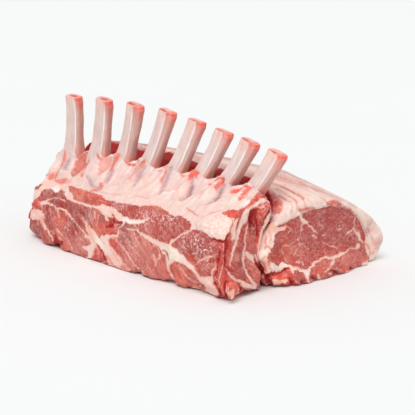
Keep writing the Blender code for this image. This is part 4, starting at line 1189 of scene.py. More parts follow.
def meatMaterial(name, look):
    material, tree, shader = startMaterial(name)
    plain = plainPlace(tree)
    along = fibrePlace(tree, look["fibreStretch"], look["fibreTurn"])
    fibre = cloud(tree, along, look["fibreScale"], 3.0, 0.65, 0.3)
    bundle = cloud(tree, along, look["bundleScale"], 2.0, 0.5, 0.8)
    grain = cloud(tree, plain, look["grainScale"], 2.0, 0.6)
    blotch = cloud(tree, plain, fleshLook["blotchScale"], 3.0, 0.65)
    broad = cloud(tree, plain, fleshLook["patchScale"], 2.0)
    coarse = cloud(tree, plain, fleshLook["glintScale"], 3.0, 0.7)
    patchy = between(tree, broad, 0.42, 0.6)
    lean = washed(
        tree, kept(tree, "leanColour", "Color"),
        (blotch, 0.5, 0.33, 0.33, "deep"),
        (blotch, 0.5, 0.68, 0.4, "rose"),
        (bundle, 0.47, 0.3, look["fibreDeep"], "deep"),
        (bundle, 0.53, 0.7, look["fibrePale"], "thread"),
        (fibre, 0.52, 0.7, look["fibrePale"], "thread"),
        (fibre, 0.47, 0.3, look["fibreDeep"], "deep"),
        (grain, 0.44, 0.3, 0.3, "deep"),
    )
    # Marbling runs between warped cells
    links = {"Vector": plain, "Scale": fleshLook["warpScale"], "Detail": 2.0}
    warp = nodeIn(tree, "ShaderNodeTexNoise", links).outputs["Color"]
    links = {0: warp, 1: [fleshLook["warpReach"]] * 3, 2: plain}
    bent = nodeIn(tree, "ShaderNodeVectorMath", links, operation="MULTIPLY_ADD").outputs[0]
    links = {"Vector": bent, "Scale": look["veinCells"]}
    cells = nodeIn(tree, "ShaderNodeTexVoronoi", links, feature="DISTANCE_TO_EDGE").outputs[0]
    veins = product(tree, between(tree, cells, look["veinWidth"], 0.0), patchy, kept(tree, "marbling"))
    lean = stained(tree, lean, veins, "vein")
    # Painted glints: small highlights in the gleam shade, gathered where the lean glistens
    bright = maths(tree, "MAXIMUM", between(tree, grain, 0.6, 0.72), between(tree, coarse, 0.52, 0.62))
    glints = product(tree, bright, between(tree, broad, 0.36, 0.56), kept(tree, "flecks"))
    lean = stained(tree, lean, glints, "gleam")
    fat = washed(
        tree, kept(tree, "fatColour", "Color"),
        (blotch, 0.52, 0.72, 0.2, "vein"),
        (blotch, 0.48, 0.3, 0.25, "gleam"),
        (fibre, 0.54, 0.72, 0.1, "vein"),
    )
    thread = maths(tree, "SUBTRACT", cloud(tree, plain, fleshLook["threadScale"], 3.0, 0.6, 0.8), 0.5)
    thread = between(tree, maths(tree, "ABSOLUTE", thread), 0.012, 0.0, 0.0, 0.35)
    fat = stained(tree, fat, product(tree, thread, patchy), "flesh")
    fat = washed(tree, fat, (grain, 0.54, 0.72, 0.3, "gleam"))
    # Lean and fat meet along a ragged edge
    ragged = maths(tree, "SUBTRACT", cloud(tree, plain, fleshLook["raggedScale"], 3.0, 0.75), 0.5)
    ragged = product(tree, ragged, fleshLook["ragged"])
    share = between(tree, maths(tree, "ADD", kept(tree, "fatEdge"), ragged), 0.4, 0.72)
    colour = stained(tree, blendColour(tree, share, lean, fat), kept(tree, "shadow"), "cleft")
    rough = between(tree, cloud(tree, plain, fleshLook["shineScale"], 2.0), 0.3, 0.7, *look["rough"])
    rough = maths(tree, "MAXIMUM", rough, kept(tree, "shadow"))
    rougher = between(tree, kept(tree, "smooth"), 0.0, 1.0, 1.0, 0.15)
    height = product(tree, maths(tree, "ADD", product(tree, fibre, 0.7), grain), rougher)
    height = maths(tree, "ADD", height, product(tree, share, 0.35))
    height = maths(tree, "ADD", height, product(tree, blotch, rougher))
    finishMaterial(tree, shader, colour, rough, height, look)
    return material


def fatMaterial(name, look):
    material, tree, shader = startMaterial(name)
    plain = plainPlace(tree)
    along = fibrePlace(tree, look["streakStretch"], look["streakTurn"])
    streaks = cloud(tree, along, look["streakScale"], 3.0, 0.6, 0.3)
    broad = cloud(tree, along, look["broadScale"], 2.0, 0.5, 0.6)
    blotch = cloud(tree, plain, look["blotchScale"], 3.0, 0.65)
    fine = cloud(tree, plain, look["grainScale"], 2.0)
    amount = kept(tree, "streaks")
    fat = washed(
        tree, kept(tree, "fatColour", "Color"),
        (blotch, 0.5, 0.7, 0.35, "vein"),
        (blotch, 0.48, 0.32, 0.35, "gleam"),
    )
    pink = product(tree, between(tree, broad, 0.5, 0.66, 0.0, 0.7), amount)
    red = product(tree, between(tree, streaks, 0.58, 0.72, 0.0, 0.5), amount)
    fat = washed(tree, stained(tree, fat, pink, "vein"), (broad, 0.5, 0.34, 0.4, "gleam"))
    fat = stained(tree, fat, red, "flesh")
    fat = washed(tree, fat, (fine, 0.56, 0.74, 0.5, "gleam"), (fine, 0.44, 0.3, 0.3, "vein"))
    fat = stained(tree, fat, kept(tree, "shadow"), "cleft")
    rough = between(tree, cloud(tree, plain, look["shineScale"], 2.0), 0.3, 0.7, *look["rough"])
    rough = maths(tree, "MAXIMUM", rough, kept(tree, "shadow"))
    height = maths(tree, "ADD", maths(tree, "ADD", product(tree, streaks, 0.9), fine), blotch)
    finishMaterial(tree, shader, fat, rough, height, look)
    return material


def boneMaterial(name, look):
    material, tree, shader = startMaterial(name)
    grain = kept(tree, "grain", "Vector")
    streaks = cloud(tree, grain, 1.0, 3.0, 0.6)
    fine = cloud(tree, grain, 3.5, 2.0, 0.6)
    stain = cloud(tree, plainPlace(tree), look["stainScale"], 3.0, 0.6)
    bone = washed(
        tree, kept(tree, "boneColour", "Color"),
        (streaks, 0.5, 0.72, 0.3, "lilac"),
        (streaks, 0.48, 0.3, 0.25, "gleam"),
        (stain, 0.5, 0.7, 0.3, "vein"),
    )
    rough = between(tree, fine, 0.3, 0.7, *look["rough"])
    finishMaterial(tree, shader, bone, rough, fine, look)
    return material


# Ribs: up, side and deep are measured from where each leaves the meat
ribLook = {
    "buried": 24 * mm,  # length of each rib that is sunk in the meat
    "voxel": 0.55 * mm,
    "relaxTurns": 3,
    "flute": 0.12 * mm,
    "fluteSizes": (3.2 * mm, 1.5 * mm),
    "marrow": 0.7 * mm,  # depth of the dimple in each tip
    "marrowHalf": (4.4 * mm, 1.7 * mm),
    "uneven": 0.35 * mm,
    "rimReach": 4.4 * mm,
    "halfWidth": 6.9 * mm,
    "halfDepth": 3.4 * mm,
    "lowLeft": 5.6 * mm,  # how far each side spreads from the tip down
    "lowRight": -4.0 * mm,  # for the last rib; less for those before it
    "topRight": 1.2 * mm,
    "footLeft": 0.8 * mm,
    "footFront": 1.2 * mm,
    "tipLean": 1.2 * mm,  # how much lower the tip is at its near corner
    "tipLeanGain": 1.3 * mm,  # and how much this grows up to the last rib
    "ridge": 0.68,  # the line between the face and the flank, in half widths
    "ridgeDrift": -0.18,  # how far it moves from the tip down
    "flush": 18 * mm,  # how far the red of the tips reaches down
    "stainScale": 150.0,
    "rough": (0.28, 0.4),
    "bump": 0.15,
    "bumpReach": 0.3 * mm,
}
ribNames = sorted(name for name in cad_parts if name.startswith("rib_"))


def ribAxes(name):
    points = np.array([vert.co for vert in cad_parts[name].data.vertices])
    low = points[points[:, 2] < points[:, 2].min() + 3 * mm].mean(0)
    high = points[points[:, 2] > points[:, 2].max() - 1.5 * mm].mean(0)
    axis = (high - low) / np.linalg.norm(high - low)
    across = np.array((1.0, 0.0, 0.0))
    across -= axis * axis[0]
    across /= np.linalg.norm(across)
    through = np.cross(axis, across)
    foot = (points @ axis).min()
    root = high + axis * (foot + ribLook["buried"] - high @ axis)
    return root, axis, across, through, (points @ axis).max() - root @ axis


def makeRib(name, material):
    root, axis, across, through, shown = ribAxes(name)
    piece = pieceFrom(name.replace("_", ""), [mergedNode(name)])
    voxelSkin(piece, ribLook)
    points, normals = shapeOf(piece)
    number = ribNames.index(name)
    seed, gain = 3.1 * number, number / 7.0  # the ribs change steadily from the first to the last
    offset = points - root
    toFront = -np.sign(through[1])
    up, side, deep = offset @ axis, offset @ across, toFront * (offset @ through)
    toTip = shown - up
    rightwards, forwards = side / ribLook["halfWidth"], deep / ribLook["halfDepth"]
    stretched = np.stack([side, deep, 0.14 * up], axis=1)
    broadFlute, fineFlute = ribLook["fluteSizes"]
    flutes = lumps(stretched, broadFlute, seed) + 0.5 * lumps(stretched, fineFlute, seed + 5)
    bumps = lumps(points, 9 * mm, seed + 2)
    topFace = ramp(0.6, 0.9, normals @ axis) * (toTip < 2 * mm)
    acrossMarrow, throughMarrow = ribLook["marrowHalf"]
    hollow = topFace * np.exp(-((side / acrossMarrow) ** 2) - (deep / throughMarrow) ** 2)
    move = ribLook["flute"] * flutes * (1 - topFace) - ribLook["marrow"] * hollow
    points = points + normals * (move + ribLook["uneven"] * bumps)[:, None]
    # A wider foot and tip, and a tip cut so that it leans to the carved end
    foot = ramp(15 * mm, -6 * mm, up) ** 1.5
    lower = np.clip(toTip / shown, 0, 1.3)
    leftFlare = ribLook["lowLeft"] * lower + ribLook["footLeft"] * foot
    rightFlare = ribLook["topRight"] * (1 - lower) * ramp(0.0, 0.15, lower)
    rightFlare += ribLook["lowRight"] * (0.1 + 0.9 * gain) * lower**2
    flare = np.where(rightwards < 0, leftFlare, rightFlare)
    tipLean = ribLook["tipLean"] + ribLook["tipLeanGain"] * gain
    lean = tipLean * (0.65 * (forwards + 1) + 0.35 * (rightwards + 1)) * ramp(9 * mm, 1.5 * mm, toTip)
    points += across * (flare * rightwards)[:, None]
    points += through * (toFront * forwards * (ribLook["footFront"] * foot + 0.1 * flare))[:, None]
    points -= axis * lean[:, None]
    place(piece, points)
    # Its flank and the painted highlight along the corner beside it, the flush near the tip and the
    # skin at the foot
    sideways = normals @ across
    ridge = ribLook["ridge"] + ribLook["ridgeDrift"] * lower
    beyond = ramp(ridge, ridge + 0.12, rightwards) * (1 - topFace)
    # The flank is darker partly as meat left on the bone and partly as painted shade of the side turned
    # from the light
    flank = np.maximum(ramp(0.6, 0.85, sideways), 0.8 * beyond)
    corner = ramp(ridge - 0.2, ridge - 0.07, rightwards) * ramp(ridge + 0.05, ridge - 0.03, rightwards)
    corner = 0.9 * corner * ramp(2 * mm, 7 * mm, toTip)
    nearTip = ramp(ribLook["flush"], 0.0, toTip)
    rim = ramp(ribLook["rimReach"], 0.8 * mm, toTip + 1.6 * mm * lumps(points, 3 * mm, seed))
    paler = np.full(len(points), gain)
    # shine is a painted highlight on the face next to the corner
    shine = 0.5 * ramp(0.35, 0.8, rightwards) * (1 - flank) * (0.3 + 0.7 * paler)
    edge = ramp(1.5 * mm, 0.4 * mm, toTip + 0.6 * mm * lumps(points, 2 * mm, seed + 4))
    rightHalf = ramp(-0.3, 0.7, rightwards)
    low = ramp(8 * mm, -1 * mm, up + 2.4 * mm * lumps(points, 5 * mm, seed + 7))
    colours = painted(
        plainColour(points, "boneGrey"),
        ("bonePale", paler),
        ("blush", 0.35 * ramp(0.0, -0.8, rightwards)),
        ("ribFlank", 0.95 * flank * (1 - 0.12 * paler)),
        ("gleam", shine),
        ("gleam", corner),
        ("ember", 0.65 * flank * nearTip),
        ("blush", (0.4 + 0.5 * paler) * (1 - flank) * nearTip),
        ("ember", 0.9 * np.maximum(rim * flank, (0.15 + 0.5 * rightHalf) * edge)),
        ("tipFace", 0.9 * topFace),
        ("ember", 0.6 * topFace * ramp(0.5, 1.0, rightwards)),
        ("scarlet", np.minimum(1.0, 1.5 * hollow)),
        ("flesh", 0.45 * low * flank),
        ("skin", 0.7 * low * (1 - flank)),
    )
    keepColour(piece, "boneColour", colours)
    keep(piece, "grain", stretched / (2.2 * mm) + seed, "FLOAT_VECTOR", "vector")
    finishPiece(piece, material, "bone", name)


def finishPiece(piece, material, slot, *nodes):
    piece.data.materials.clear()
    piece.data.materials.append(material)
    piece.data.shade_smooth()
    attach(piece, "root")
    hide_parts(*nodes)
    print(piece.name, len(piece.data.polygons), "faces")


# Rack meat: the lean with the skin and fat that wrap the feet of the ribs
rackLook = {
    "voxel": 1.22 * mm,
    "relaxTurns": 2,
    "collar": 0.5 * mm,  # thickness of the skin round each rib's foot
    "collarRise": -1.4 * mm,
    "collarSlope": (0.15, 0.2),
    "skinFrom": (48 * mm, 54 * mm),  # the height at which lean gives way to skin
    "cleftWall": (-34 * mm, -28 * mm),
    # The skin drawn up to each rib is a web over five balls, (across, up, ahead, radius) in mm;
    # the first two ribs have only the last four
    "web": [
        (-3.0, 0.0, 3.4, 1.6), (-9.5, 1.0, 1.6, 2.0), (-19.5, -7.0, 1.6, 2.4), (-8.0, -9.0, 1.6, 4.0),
        (-19.5, -13.0, 1.6, 4.0),
    ],
    "knob": [
        (192, 222), (198, 220), (206, 219), (213, 214.5), (222, 214), (230, 216), (233.5, 221),
        (231, 228), (229, 234), (226, 238.5), (221, 241), (214, 239.5), (208, 236), (202, 232),
        (196, 227),
    ],
    "ridge": 1.9 * mm,  # how far the skin stands up over each rib
    "swell": 1.3 * mm,  # how far each muscle swells between its seams
    "swelling": 3.4 * mm,
    "footPush": 6.0 * mm,
    "footStart": (-112 * mm, -70 * mm),  # where along the rack the push starts and ends
    "footEnd": (32 * mm, 2 * mm),
    "footHeight": (26 * mm, 6 * mm),
    "footRim": 3.0 * mm,  # how far the near right foot is drawn in
    "cornerLift": 4.0 * mm,
    "corner": (-58 * mm, 9 * mm),  # its middle and reach
    "boneWidth": 6.5 * mm,  # of the skin that stands up over each rib
    "hollow": (-11 * mm, 4 * mm, 0.9),  # beside it: where, how wide, how deep
    "bundles": 0.7 * mm,  # relief of the lean, from broad to fine
    "ropes": 0.8 * mm,
    "strands": 0.35 * mm,
    "pores": 0.2 * mm,
    "crumb": 2.7 * mm,  # size and height of the crumbs on the knob
    "crumbHeight": 1.2 * mm,
    "markStep": 0.8 * mm,  # one step of a mark's depth
    "stir": (1.3, 1.1),  # how far broad and fine lumps stir a mark's edge (px)
    # What turns the left end's points into the right end's: y of the one and the other
    "hidden": {"from": -96 * mm, "y": (-60 * mm, -64 * mm), "stretchY": 1.0, "stretchZ": 0.95},
    "fibreStretch": (9, 3, 1),
    "fibreTurn": (0, 42, 0),
    "fibreScale": 820.0,
    "bundleScale": 330.0,
    "grainScale": 1150.0,
    "fibrePale": 0.4,
    "fibreDeep": 0.33,
    "veinCells": 95.0,
    "veinWidth": 0.05,
    "rough": (0.26, 0.46),
    "bump": 0.6,
    "bumpReach": 0.5 * mm,
}


# Torn bits: where they show (px), their half sizes and how far their middle is sunk, in mm
rackBits = {
    "tag": ((230.5, 288), (3.4, 3.4, 4.6), -3.6),
    "tagFoot": ((232.5, 294.5), (3.2, 3.2, 3.6), -4.4),
    "lobeTop": ((261, 202), (5.0, 4.0, 5.0), 2.0),
    "cornerLobe": ((246, 201), (6.0, 4.0, 3.6), 2.2),
}

# Torn bits between the ribs: how far along the rack (mm), where they show (px), their half sizes
crestBits = {
    "fiveSix": (30, (193.5, 174), (2.4, 2.0, 3.2)),
    "fiveSixLow": (31, (195.5, 178), (2.0, 2.0, 2.4)),
    "sixSeven": (54, (221, 180.5), (3.6, 1.6, 1.8)),
    "sevenEight": (80, (246, 189), (3.0, 1.6, 2.4)),
    "twoThree": (-52, (112, 155), (2.0, 1.6, 2.6)),
}


def ribStub(name):
    root, axis, across, through = ribAxes(name)[:4]
    bm = mergedNode(name)
    grow(bm, rackLook["collar"])
    toSide, toBack = rackLook["collarSlope"]
    slope = Vector(axis + toSide * across + toBack * through * np.sign(through[1])).normalized()
    top = Vector(root) + Vector(axis) * rackLook["collarRise"]
    whole = bm.verts[:] + bm.edges[:] + bm.faces[:]
    cut = bmesh.ops.bisect_plane(bm, geom=whole, plane_co=top, plane_no=slope, clear_outer=True)
    rim = [edge for edge in cut["geom_cut"] if isinstance(edge, bmesh.types.BMEdge)]
    bmesh.ops.holes_fill(bm, edges=rim)
    return bm


def ribWeb(name):
    root, axis, across, through = ribAxes(name)[:4]
    front = through * -np.sign(through[1])
    bm = bmesh.new()
    balls = rackLook["web"][1:] if name in ribNames[:2] else rackLook["web"]
    for side, rise, ahead, radius in balls:
        centre = root + (across * side + axis * rise + front * ahead) * mm
        ball = bmesh.new()
        bmesh.ops.create_icosphere(ball, subdivisions=2, radius=radius * mm)
        for vert in ball.verts:
            bm.verts.new(vert.co + Vector(centre))
        ball.free()
    hull = bmesh.ops.convex_hull(bm, input=bm.verts)
    spare = [item for item in hull["geom_interior"] if isinstance(item, bmesh.types.BMVert)]
    bmesh.ops.delete(bm, geom=spare, context="VERTS")
    return bm


def blob(centre, sizes):
    bm = bmesh.new()
    bmesh.ops.create_icosphere(bm, subdivisions=3, radius=1.0)
    for vert in bm.verts:
        vert.co = centre + Vector(size * mm * along for size, along in zip(sizes, vert.co))
    return bm


def tornBit(body, spot, sizes, sunk):
    ray = rayThrough(spot)
    hit = BVHTree.FromBMesh(body).ray_cast(Vector(photoView["place"]), ray)
    return blob(hit[0] + ray * (sunk * mm), sizes)


def bitAt(level, spot, sizes):
    start, ray = Vector(photoView["place"]), rayThrough(spot)
    return blob(start + ray * ((level * mm - start.x) / ray.x), sizes)


def bitsRound(body, torn, placed):
    return [tornBit(body, *bit) for bit in torn.values()] + [bitAt(*bit) for bit in placed.values()]


# The front foot stands out along the left, and the near corner's foot is lifted
def shiftFoot(points, normals):
    x, y, z = points.T
    alongFoot = ramp(*rackLook["footStart"], x) * ramp(*rackLook["footEnd"], x)
    push = ramp(*rackLook["footHeight"], z) * alongFoot * ramp(0.0, -0.4, normals[:, 1])
    y -= rackLook["footPush"] * push
    middle, reach = rackLook["corner"]
    corner = np.exp(-(((y - middle) / reach) ** 2)) * ramp(98 * mm, 106 * mm, x)
    z += rackLook["cornerLift"] * corner * ramp(14 * mm, 2 * mm, z)


# Skin drawn tight over each rib, with a hollow on its carved side
def drawSkin(points, skin, mottling, overSkin):
    x, y = points.T[:2]
    ridge = np.zeros(len(points))
    boneWidth = rackLook["boneWidth"]
    hollowAt, hollowWidth, hollowDepth = rackLook["hollow"]
    for name in ribNames:
        root = ribAxes(name)[0]
        beside = x - root[0] + 0.3 * (root[1] - y)
        atFront = ramp(8 * mm, 0.0, y - root[1])
        hollow = np.exp(-(((beside - hollowAt) / hollowWidth) ** 2))
        over = np.exp(-((beside / boneWidth) ** 2)) - hollowDepth * hollow
        ridge += atFront * ramp(-34 * mm, -12 * mm, y - root[1]) * over
        overBone = np.exp(-(((beside + 1 * mm) / boneWidth) ** 4)) * atFront
        overBone *= ramp(-15 * mm, -2 * mm, y - root[1] + 2 * mm * mottling) * overSkin
        skin = tinted(skin, "boneGrey" if root[0] < 0 else "bonePale", 0.75 * overBone)
    return skin, ridge


def makeRackMeat(material):
    body = mergedNode("rack_meat")
    bodies = bitsRound(body, rackBits, crestBits) + [body]
    bodies += [ribStub(name) for name in ribNames] + [ribWeb(name) for name in ribNames]
    piece = pieceFrom("rackMeat", bodies)
    voxelSkin(piece, rackLook)
    refine(piece, lambda spot, normal: normal.y < -0.3 or (normal.x > 0.5 and spot.x > 90 * mm))
    points, normals = shapeOf(piece)
    shiftFoot(points, normals)
    x, y, z = points.T
    trueSpots, seen = carvedSpots(points, normals, rackLook["hidden"])
    spots = stirred(trueSpots, points, 11.0, *rackLook["stir"])
    mottling = 2.2 * lumps(points, 1.7 * mm, 83.0)
    markFat, dark, sink = markFields(spots, rackMarks)
    # Where the photo doesn't reach: skin above, and seams between bundles below
    slanted = points @ np.array(((1, 0, 0), (0, 1, 0), (0.7, 0, 0.4)))
    plainFat = 5.0 - 60.0 * np.abs(lumps(slanted, 24 * mm, 31.0))
    overRibs = ramp(45 * mm, 53 * mm, z + 4 * mm * lumps(points, 14 * mm, 35.0))
    plainFat = np.where(overRibs > 0.5, 4.0, plainFat)
    # The wall that faces into the cleft takes no fat, a rust tint and painted shade, kept as the shadow
    # attribute
    inner = ramp(*rackLook["cleftWall"], y) * ramp(0.0, 0.4, normals[:, 1])
    fat = seen * markFat + (1 - seen) * plainFat
    fat = fat * (1 - inner) - farAway * inner
    # The skin over the ribs, with its folds and the crumbly knob, and painted highlights (gleam) on
    # both
    folds = drawnOut(trueSpots, (-0.9, 1.0), 2.2, 14.0, 3.0)
    overSkin = ramp(*rackLook["skinFrom"], z)
    knob = ramp(-0.5, 2.5, markDepth(trueSpots, rackLook["knob"], True)) * seen
    warped = points + 1.6 * mm * lumpsEach(points, 5 * mm, 91.0, 93.0, 95.0)
    crumbs = np.array([noise.voronoi(Vector(point))[0][0] for point in warped / rackLook["crumb"]])
    skin = painted(
        shaded(spots, fatShades, "membrane"),
        ("fatRim", 0.65 * ramp(2.2, 0.2, fat) * (1 - overSkin)),
        ("vein", 0.26 * overSkin * ramp(0.05, 0.45, folds)),
        ("gleam", 0.4 * overSkin * ramp(-0.05, -0.45, folds)),
        ("mottle", 0.65 * knob * ramp(0.45, 0.75, crumbs + 0.3 * folds)),
        ("gleam", 0.45 * knob * ramp(0.4, 0.1, crumbs)),
    )
    skin, ridge = drawSkin(points, skin, mottling, overSkin)
    skin, dressingSink = dressed(skin, 0.5 * spots + 0.5 * trueSpots, seen, mottling, ribDressing)
    # Relief
    slope = ramp(44 * mm, 50 * mm, z)
    fatShare = ramp(-1.0, 1.0, fat)
    lowFront = ramp(50 * mm, 44 * mm, z)
    bundles = lumps(slanted, 7 * mm, 41.0)
    ropes = drawnOut(trueSpots, (0.55, 0.83), 3.4, 22.0, 9.0)
    strands = drawnOut(trueSpots, (0.5, 0.86), 1.5, 13.0, 19.0)
    move = rackLook["ridge"] * ridge * slope
    relief = rackLook["bundles"] * bundles + rackLook["ropes"] * ropes + rackLook["strands"] * strands
    move += (1 - fatShare) * (relief + rackLook["pores"] * lumps(points, 2.2 * mm, 43.0))
    move += seen * rackLook["swell"] * (ramp(0.0, -5.0, fat) - 0.5)
    outward = ramp(0.3, -0.1, normals[:, 1])
    footRim = seen * ramp(9 * mm, 3 * mm, z) * ramp(70 * mm, 84 * mm, x)
    drawnIn = rackLook["footRim"] * footRim * ramp(-0.2, -0.6, normals[:, 1])
    move -= drawnIn * ramp(112 * mm, 100 * mm, x)
    move += rackLook["swelling"] * gathered(trueSpots, swellings) * outward * ramp(0.0, 5 * mm, z)
    rough = 0.45 * mm * (1 - 0.75 * overSkin)
    move += fatShare * (rough * lumps(points, 2.8 * mm, 47.0) + 0.4 * mm * lumps(points, 8 * mm, 49.0))
    move -= 0.3 * mm * folds * overSkin
    crumbs = 1.0 - 1.3 * crumbs + 0.5 * lumps(points, 6 * mm, 51.0)
    move += rackLook["crumbHeight"] * knob * crumbs
    move -= seen * (sink + dressingSink) * rackLook["markStep"]
    place(piece, points + normals * move[:, None])
    lean = painted(
        shaded(spots, leanShades, "crimson"),
        ("deep", 0.3 * ramp(0.1, 0.5, -ropes)),
        ("rose", 0.25 * ramp(0.1, 0.5, ropes)),
        ("rust", 0.5 * inner),
    )
    keepColour(piece, "leanColour", lean)
    keepColour(piece, "fatColour", skin)
    keep(piece, "fatEdge", 0.5 + fat / 5.0)
    keep(piece, "shadow", np.maximum(seen * dark * 0.85, 0.8 * inner))
    keep(piece, "marbling", 0.35 * lowFront)
    keep(piece, "flecks", 0.16 + 0.84 * seen * gathered(spots, glistening))
    keep(piece, "smooth", 0.8 * overSkin * (1 - knob))
    finishPiece(piece, material, "lean", "rack_meat")


# Loin eye and its fat
loinLook = {
    "voxel": 1.3 * mm,
    "relaxTurns": 2,
    "markStep": 0.7 * mm,
    "stir": (1.4, 1.2),
    "carvedFrom": (98 * mm, 104 * mm),
    "cleftWall": (-12 * mm, -20 * mm),
    "hidden": {"from": -96 * mm, "y": (-28 * mm, -38 * mm), "stretchY": 1.15, "stretchZ": 0.83},
    "fibreStretch": (1, 2.2, 1),
    "fibreTurn": (0, 0, 0),
    "fibreScale": 1000.0,
    "bundleScale": 420.0,
    "grainScale": 1300.0,
    "fibrePale": 0.28,
    "fibreDeep": 0.3,
    "veinCells": 140.0,
    "veinWidth": 0.05,
    "rough": (0.3, 0.5),
    "bump": 0.4,
    "bumpReach": 0.5 * mm,
}


# Bits of fat and flesh at the loin's foot, as in rackBits
loinBits = {
    "leftBit": ((276, 279), (3.4, 4.4, 3.0), 0.6),
    "leftBitTwo": ((285, 281), (3.4, 3.6, 2.6), 0.4),
    "middleBit": ((297, 279), (3.4, 4.2, 3.4), 0.6),
    "columnBit": ((309, 279), (3.0, 3.0, 3.0), 0.4),
    "rightBit": ((325, 275), (3.4, 5.4, 2.8), 0.6),
    "farBit": ((343, 269), (3.2, 4.6, 2.8), 0.8),
    "edgeBit": ((359, 262), (3.0, 4.0, 2.4), 0.8),
}

# The fat that fills the cleft's mouth, as in crestBits
cleftFat = {
    "top": (105.0, (272, 226), (5.0, 5.0, 5.0)),
    "upper": (105.5, (270, 233), (5.5, 5.5, 6.0)),
    "middle": (106.0, (268, 240), (6.0, 6.5, 6.0)),
    "low": (106.0, (267, 247), (6.0, 7.0, 5.0)),
    "knot": (108.5, (263, 256), (5.0, 6.0, 4.6)),
    "knotTop": (108.5, (267, 251), (4.0, 4.0, 3.4)),
    "foot": (106.0, (266, 264), (5.5, 6.0, 6.0)),
    "base": (105.5, (268, 270), (5.5, 4.5, 4.0)),
    "footNear": (114.0, (324, 277), (3.6, 5.0, 4.0)),
    "footMiddle": (114.0, (344, 270), (3.6, 6.0, 4.0)),
    "footFar": (110.5, (362, 263.5), (4.0, 5.0, 4.5)),
}


def makeLoinEye(material):
    body = mergedNode("loin_eye")
    piece = pieceFrom("loinEye", bitsRound(body, loinBits, cleftFat) + [body])
    voxelSkin(piece, loinLook)
    refine(piece, lambda spot, normal: normal.x > 0.4 and spot.x > 90 * mm)
    points, normals = shapeOf(piece)
    x, y, z = points.T
    trueSpots, seen = carvedSpots(points, normals, loinLook["hidden"])
    spots = stirred(trueSpots, points, 13.0, *loinLook["stir"])
    markFat, dark, sink = markFields(spots, eyeMarks)
    facing = np.maximum(ramp(0.3, 0.6, np.abs(normals[:, 0])), ramp(-27 * mm, -31 * mm, y))
    atEnd = ramp(*loinLook["carvedFrom"], np.abs(x)) * facing
    below = 3.0 - 55.0 * np.abs(longLumps(points, 0.4, 16 * mm, 37.0))
    fat = atEnd * markFat + (1 - atEnd) * below
    # The wall that faces into the cleft takes no fat and a scarlet tint, and is painted with shade,
    # darker the deeper it lies
    inner = ramp(*loinLook["cleftWall"], y) * (1 - atEnd)
    fat = fat * (1 - inner) - farAway * inner
    depthInCleft = ramp(62 * mm, 44 * mm, z)
    lean = shaded(spots, eyeShades, "claret")
    lean = lean * atEnd[:, None] + (1 - atEnd[:, None]) * linear("crimson")
    lean = tinted(lean, "scarlet", 0.6 * inner)
    fatShare = ramp(-1.0, 1.0, fat)
    relief = 0.2 * mm * lumps(points, 3 * mm, 53.0) + 0.35 * mm * lumps(points, 9 * mm, 55.0)
    move = (1 - fatShare) * relief
    column = ramp(-24 * mm, -30 * mm, y) * ramp(*loinLook["carvedFrom"], x)
    move += fatShare * (0.3 + 0.9 * column) * mm * lumps(points, 4 * mm, 57.0)
    rind = shaded(spots, eyeFatShades, "blush")
    calm = 0.3 * spots + 0.7 * trueSpots
    mottling = 0.3 * lumps(points, 1.7 * mm, 87.0)
    rind, creases = dressed(rind, calm, atEnd * seen, mottling, eyeDressing)
    move -= (atEnd * sink + creases) * loinLook["markStep"]
    place(piece, points + normals * move[:, None])
    keepColour(piece, "leanColour", lean)
    keepColour(piece, "fatColour", rind)
    keep(piece, "fatEdge", 0.5 + fat / 5.0)
    keep(piece, "shadow", np.maximum(atEnd * dark * 0.8, inner * (0.35 + 0.6 * depthInCleft)))
    keep(piece, "marbling", 0.15 + atEnd * gathered(spots, eyeMarbling))
    keep(piece, "flecks", 0.2 * atEnd)
    keep(piece, "smooth", 0.4 * ramp(0.0, 2.0, fat))
    finishPiece(piece, material, "lean", "loin_eye")


# The layer of fat over the loin
capLook = {
    "voxel": 1.3 * mm,
    "relaxTurns": 2,
    "sunk": 0.9 * mm,  # how far the fat reaches into the lean, so no gap shows
    "endReach": 2.2 * mm,  # brings its carved ends level with the lean
    "core": (0.0, 8 * mm, 30 * mm),  # what counts as inward is towards this line
    "lap": 1.8 * mm,
    "softenTurns": 18,  # rounds the edge of its carved end
    "lower": 3.4 * mm,  # sinks its top
    "endLower": 1.0 * mm,
    "topFrom": (30 * mm, 58 * mm),
    "footTuck": 4.0 * mm,  # rounds the far foot
    "footFrom": (24 * mm, 2 * mm),
    "farSide": (-6 * mm, 26 * mm),
    "fold": 0.35 * mm,
    "foldPitch": 1.75 * mm,
    "markStep": 0.9 * mm,
    "stir": (1.2, 0.8),
    "cleftWall": (-10 * mm, -21 * mm),
    "streakStretch": (14, 1, 1),
    "streakTurn": (0, 0, -5),
    "streakScale": 420.0,
    "broadScale": 130.0,
    "blotchScale": 190.0,
    "grainScale": 1100.0,
    "shineScale": 250.0,
    "rough": (0.3, 0.5),
    "bump": 0.45,
    "bumpReach": 0.6 * mm,
}


# Its top is lower, its ends reach out and its far foot is tucked in
def loweredCap(points):
    x, y, z = points.T
    lowered = points.copy()
    ends = np.sign(x) * ramp(100 * mm, 108 * mm, np.abs(x))
    lowered[:, 0] += ends * (capLook["endReach"] - capLook["sunk"])
    upright = 1 - ramp(-94 * mm, -104 * mm, x) * ramp(0.0, -14 * mm, y)
    lower = capLook["lower"] * upright + capLook["endLower"] * ramp(30 * mm, 90 * mm, x)
    start, full = capLook["topFrom"]
    lowered[:, 2] -= lower * np.clip((z - start) / (full - start), 0, 1)
    tuck = ramp(*capLook["footFrom"], z) * ramp(48 * mm, 66 * mm, y)
    lowered[:, 1] -= capLook["footTuck"] * tuck * ramp(-20 * mm, 90 * mm, x)
    return lowered


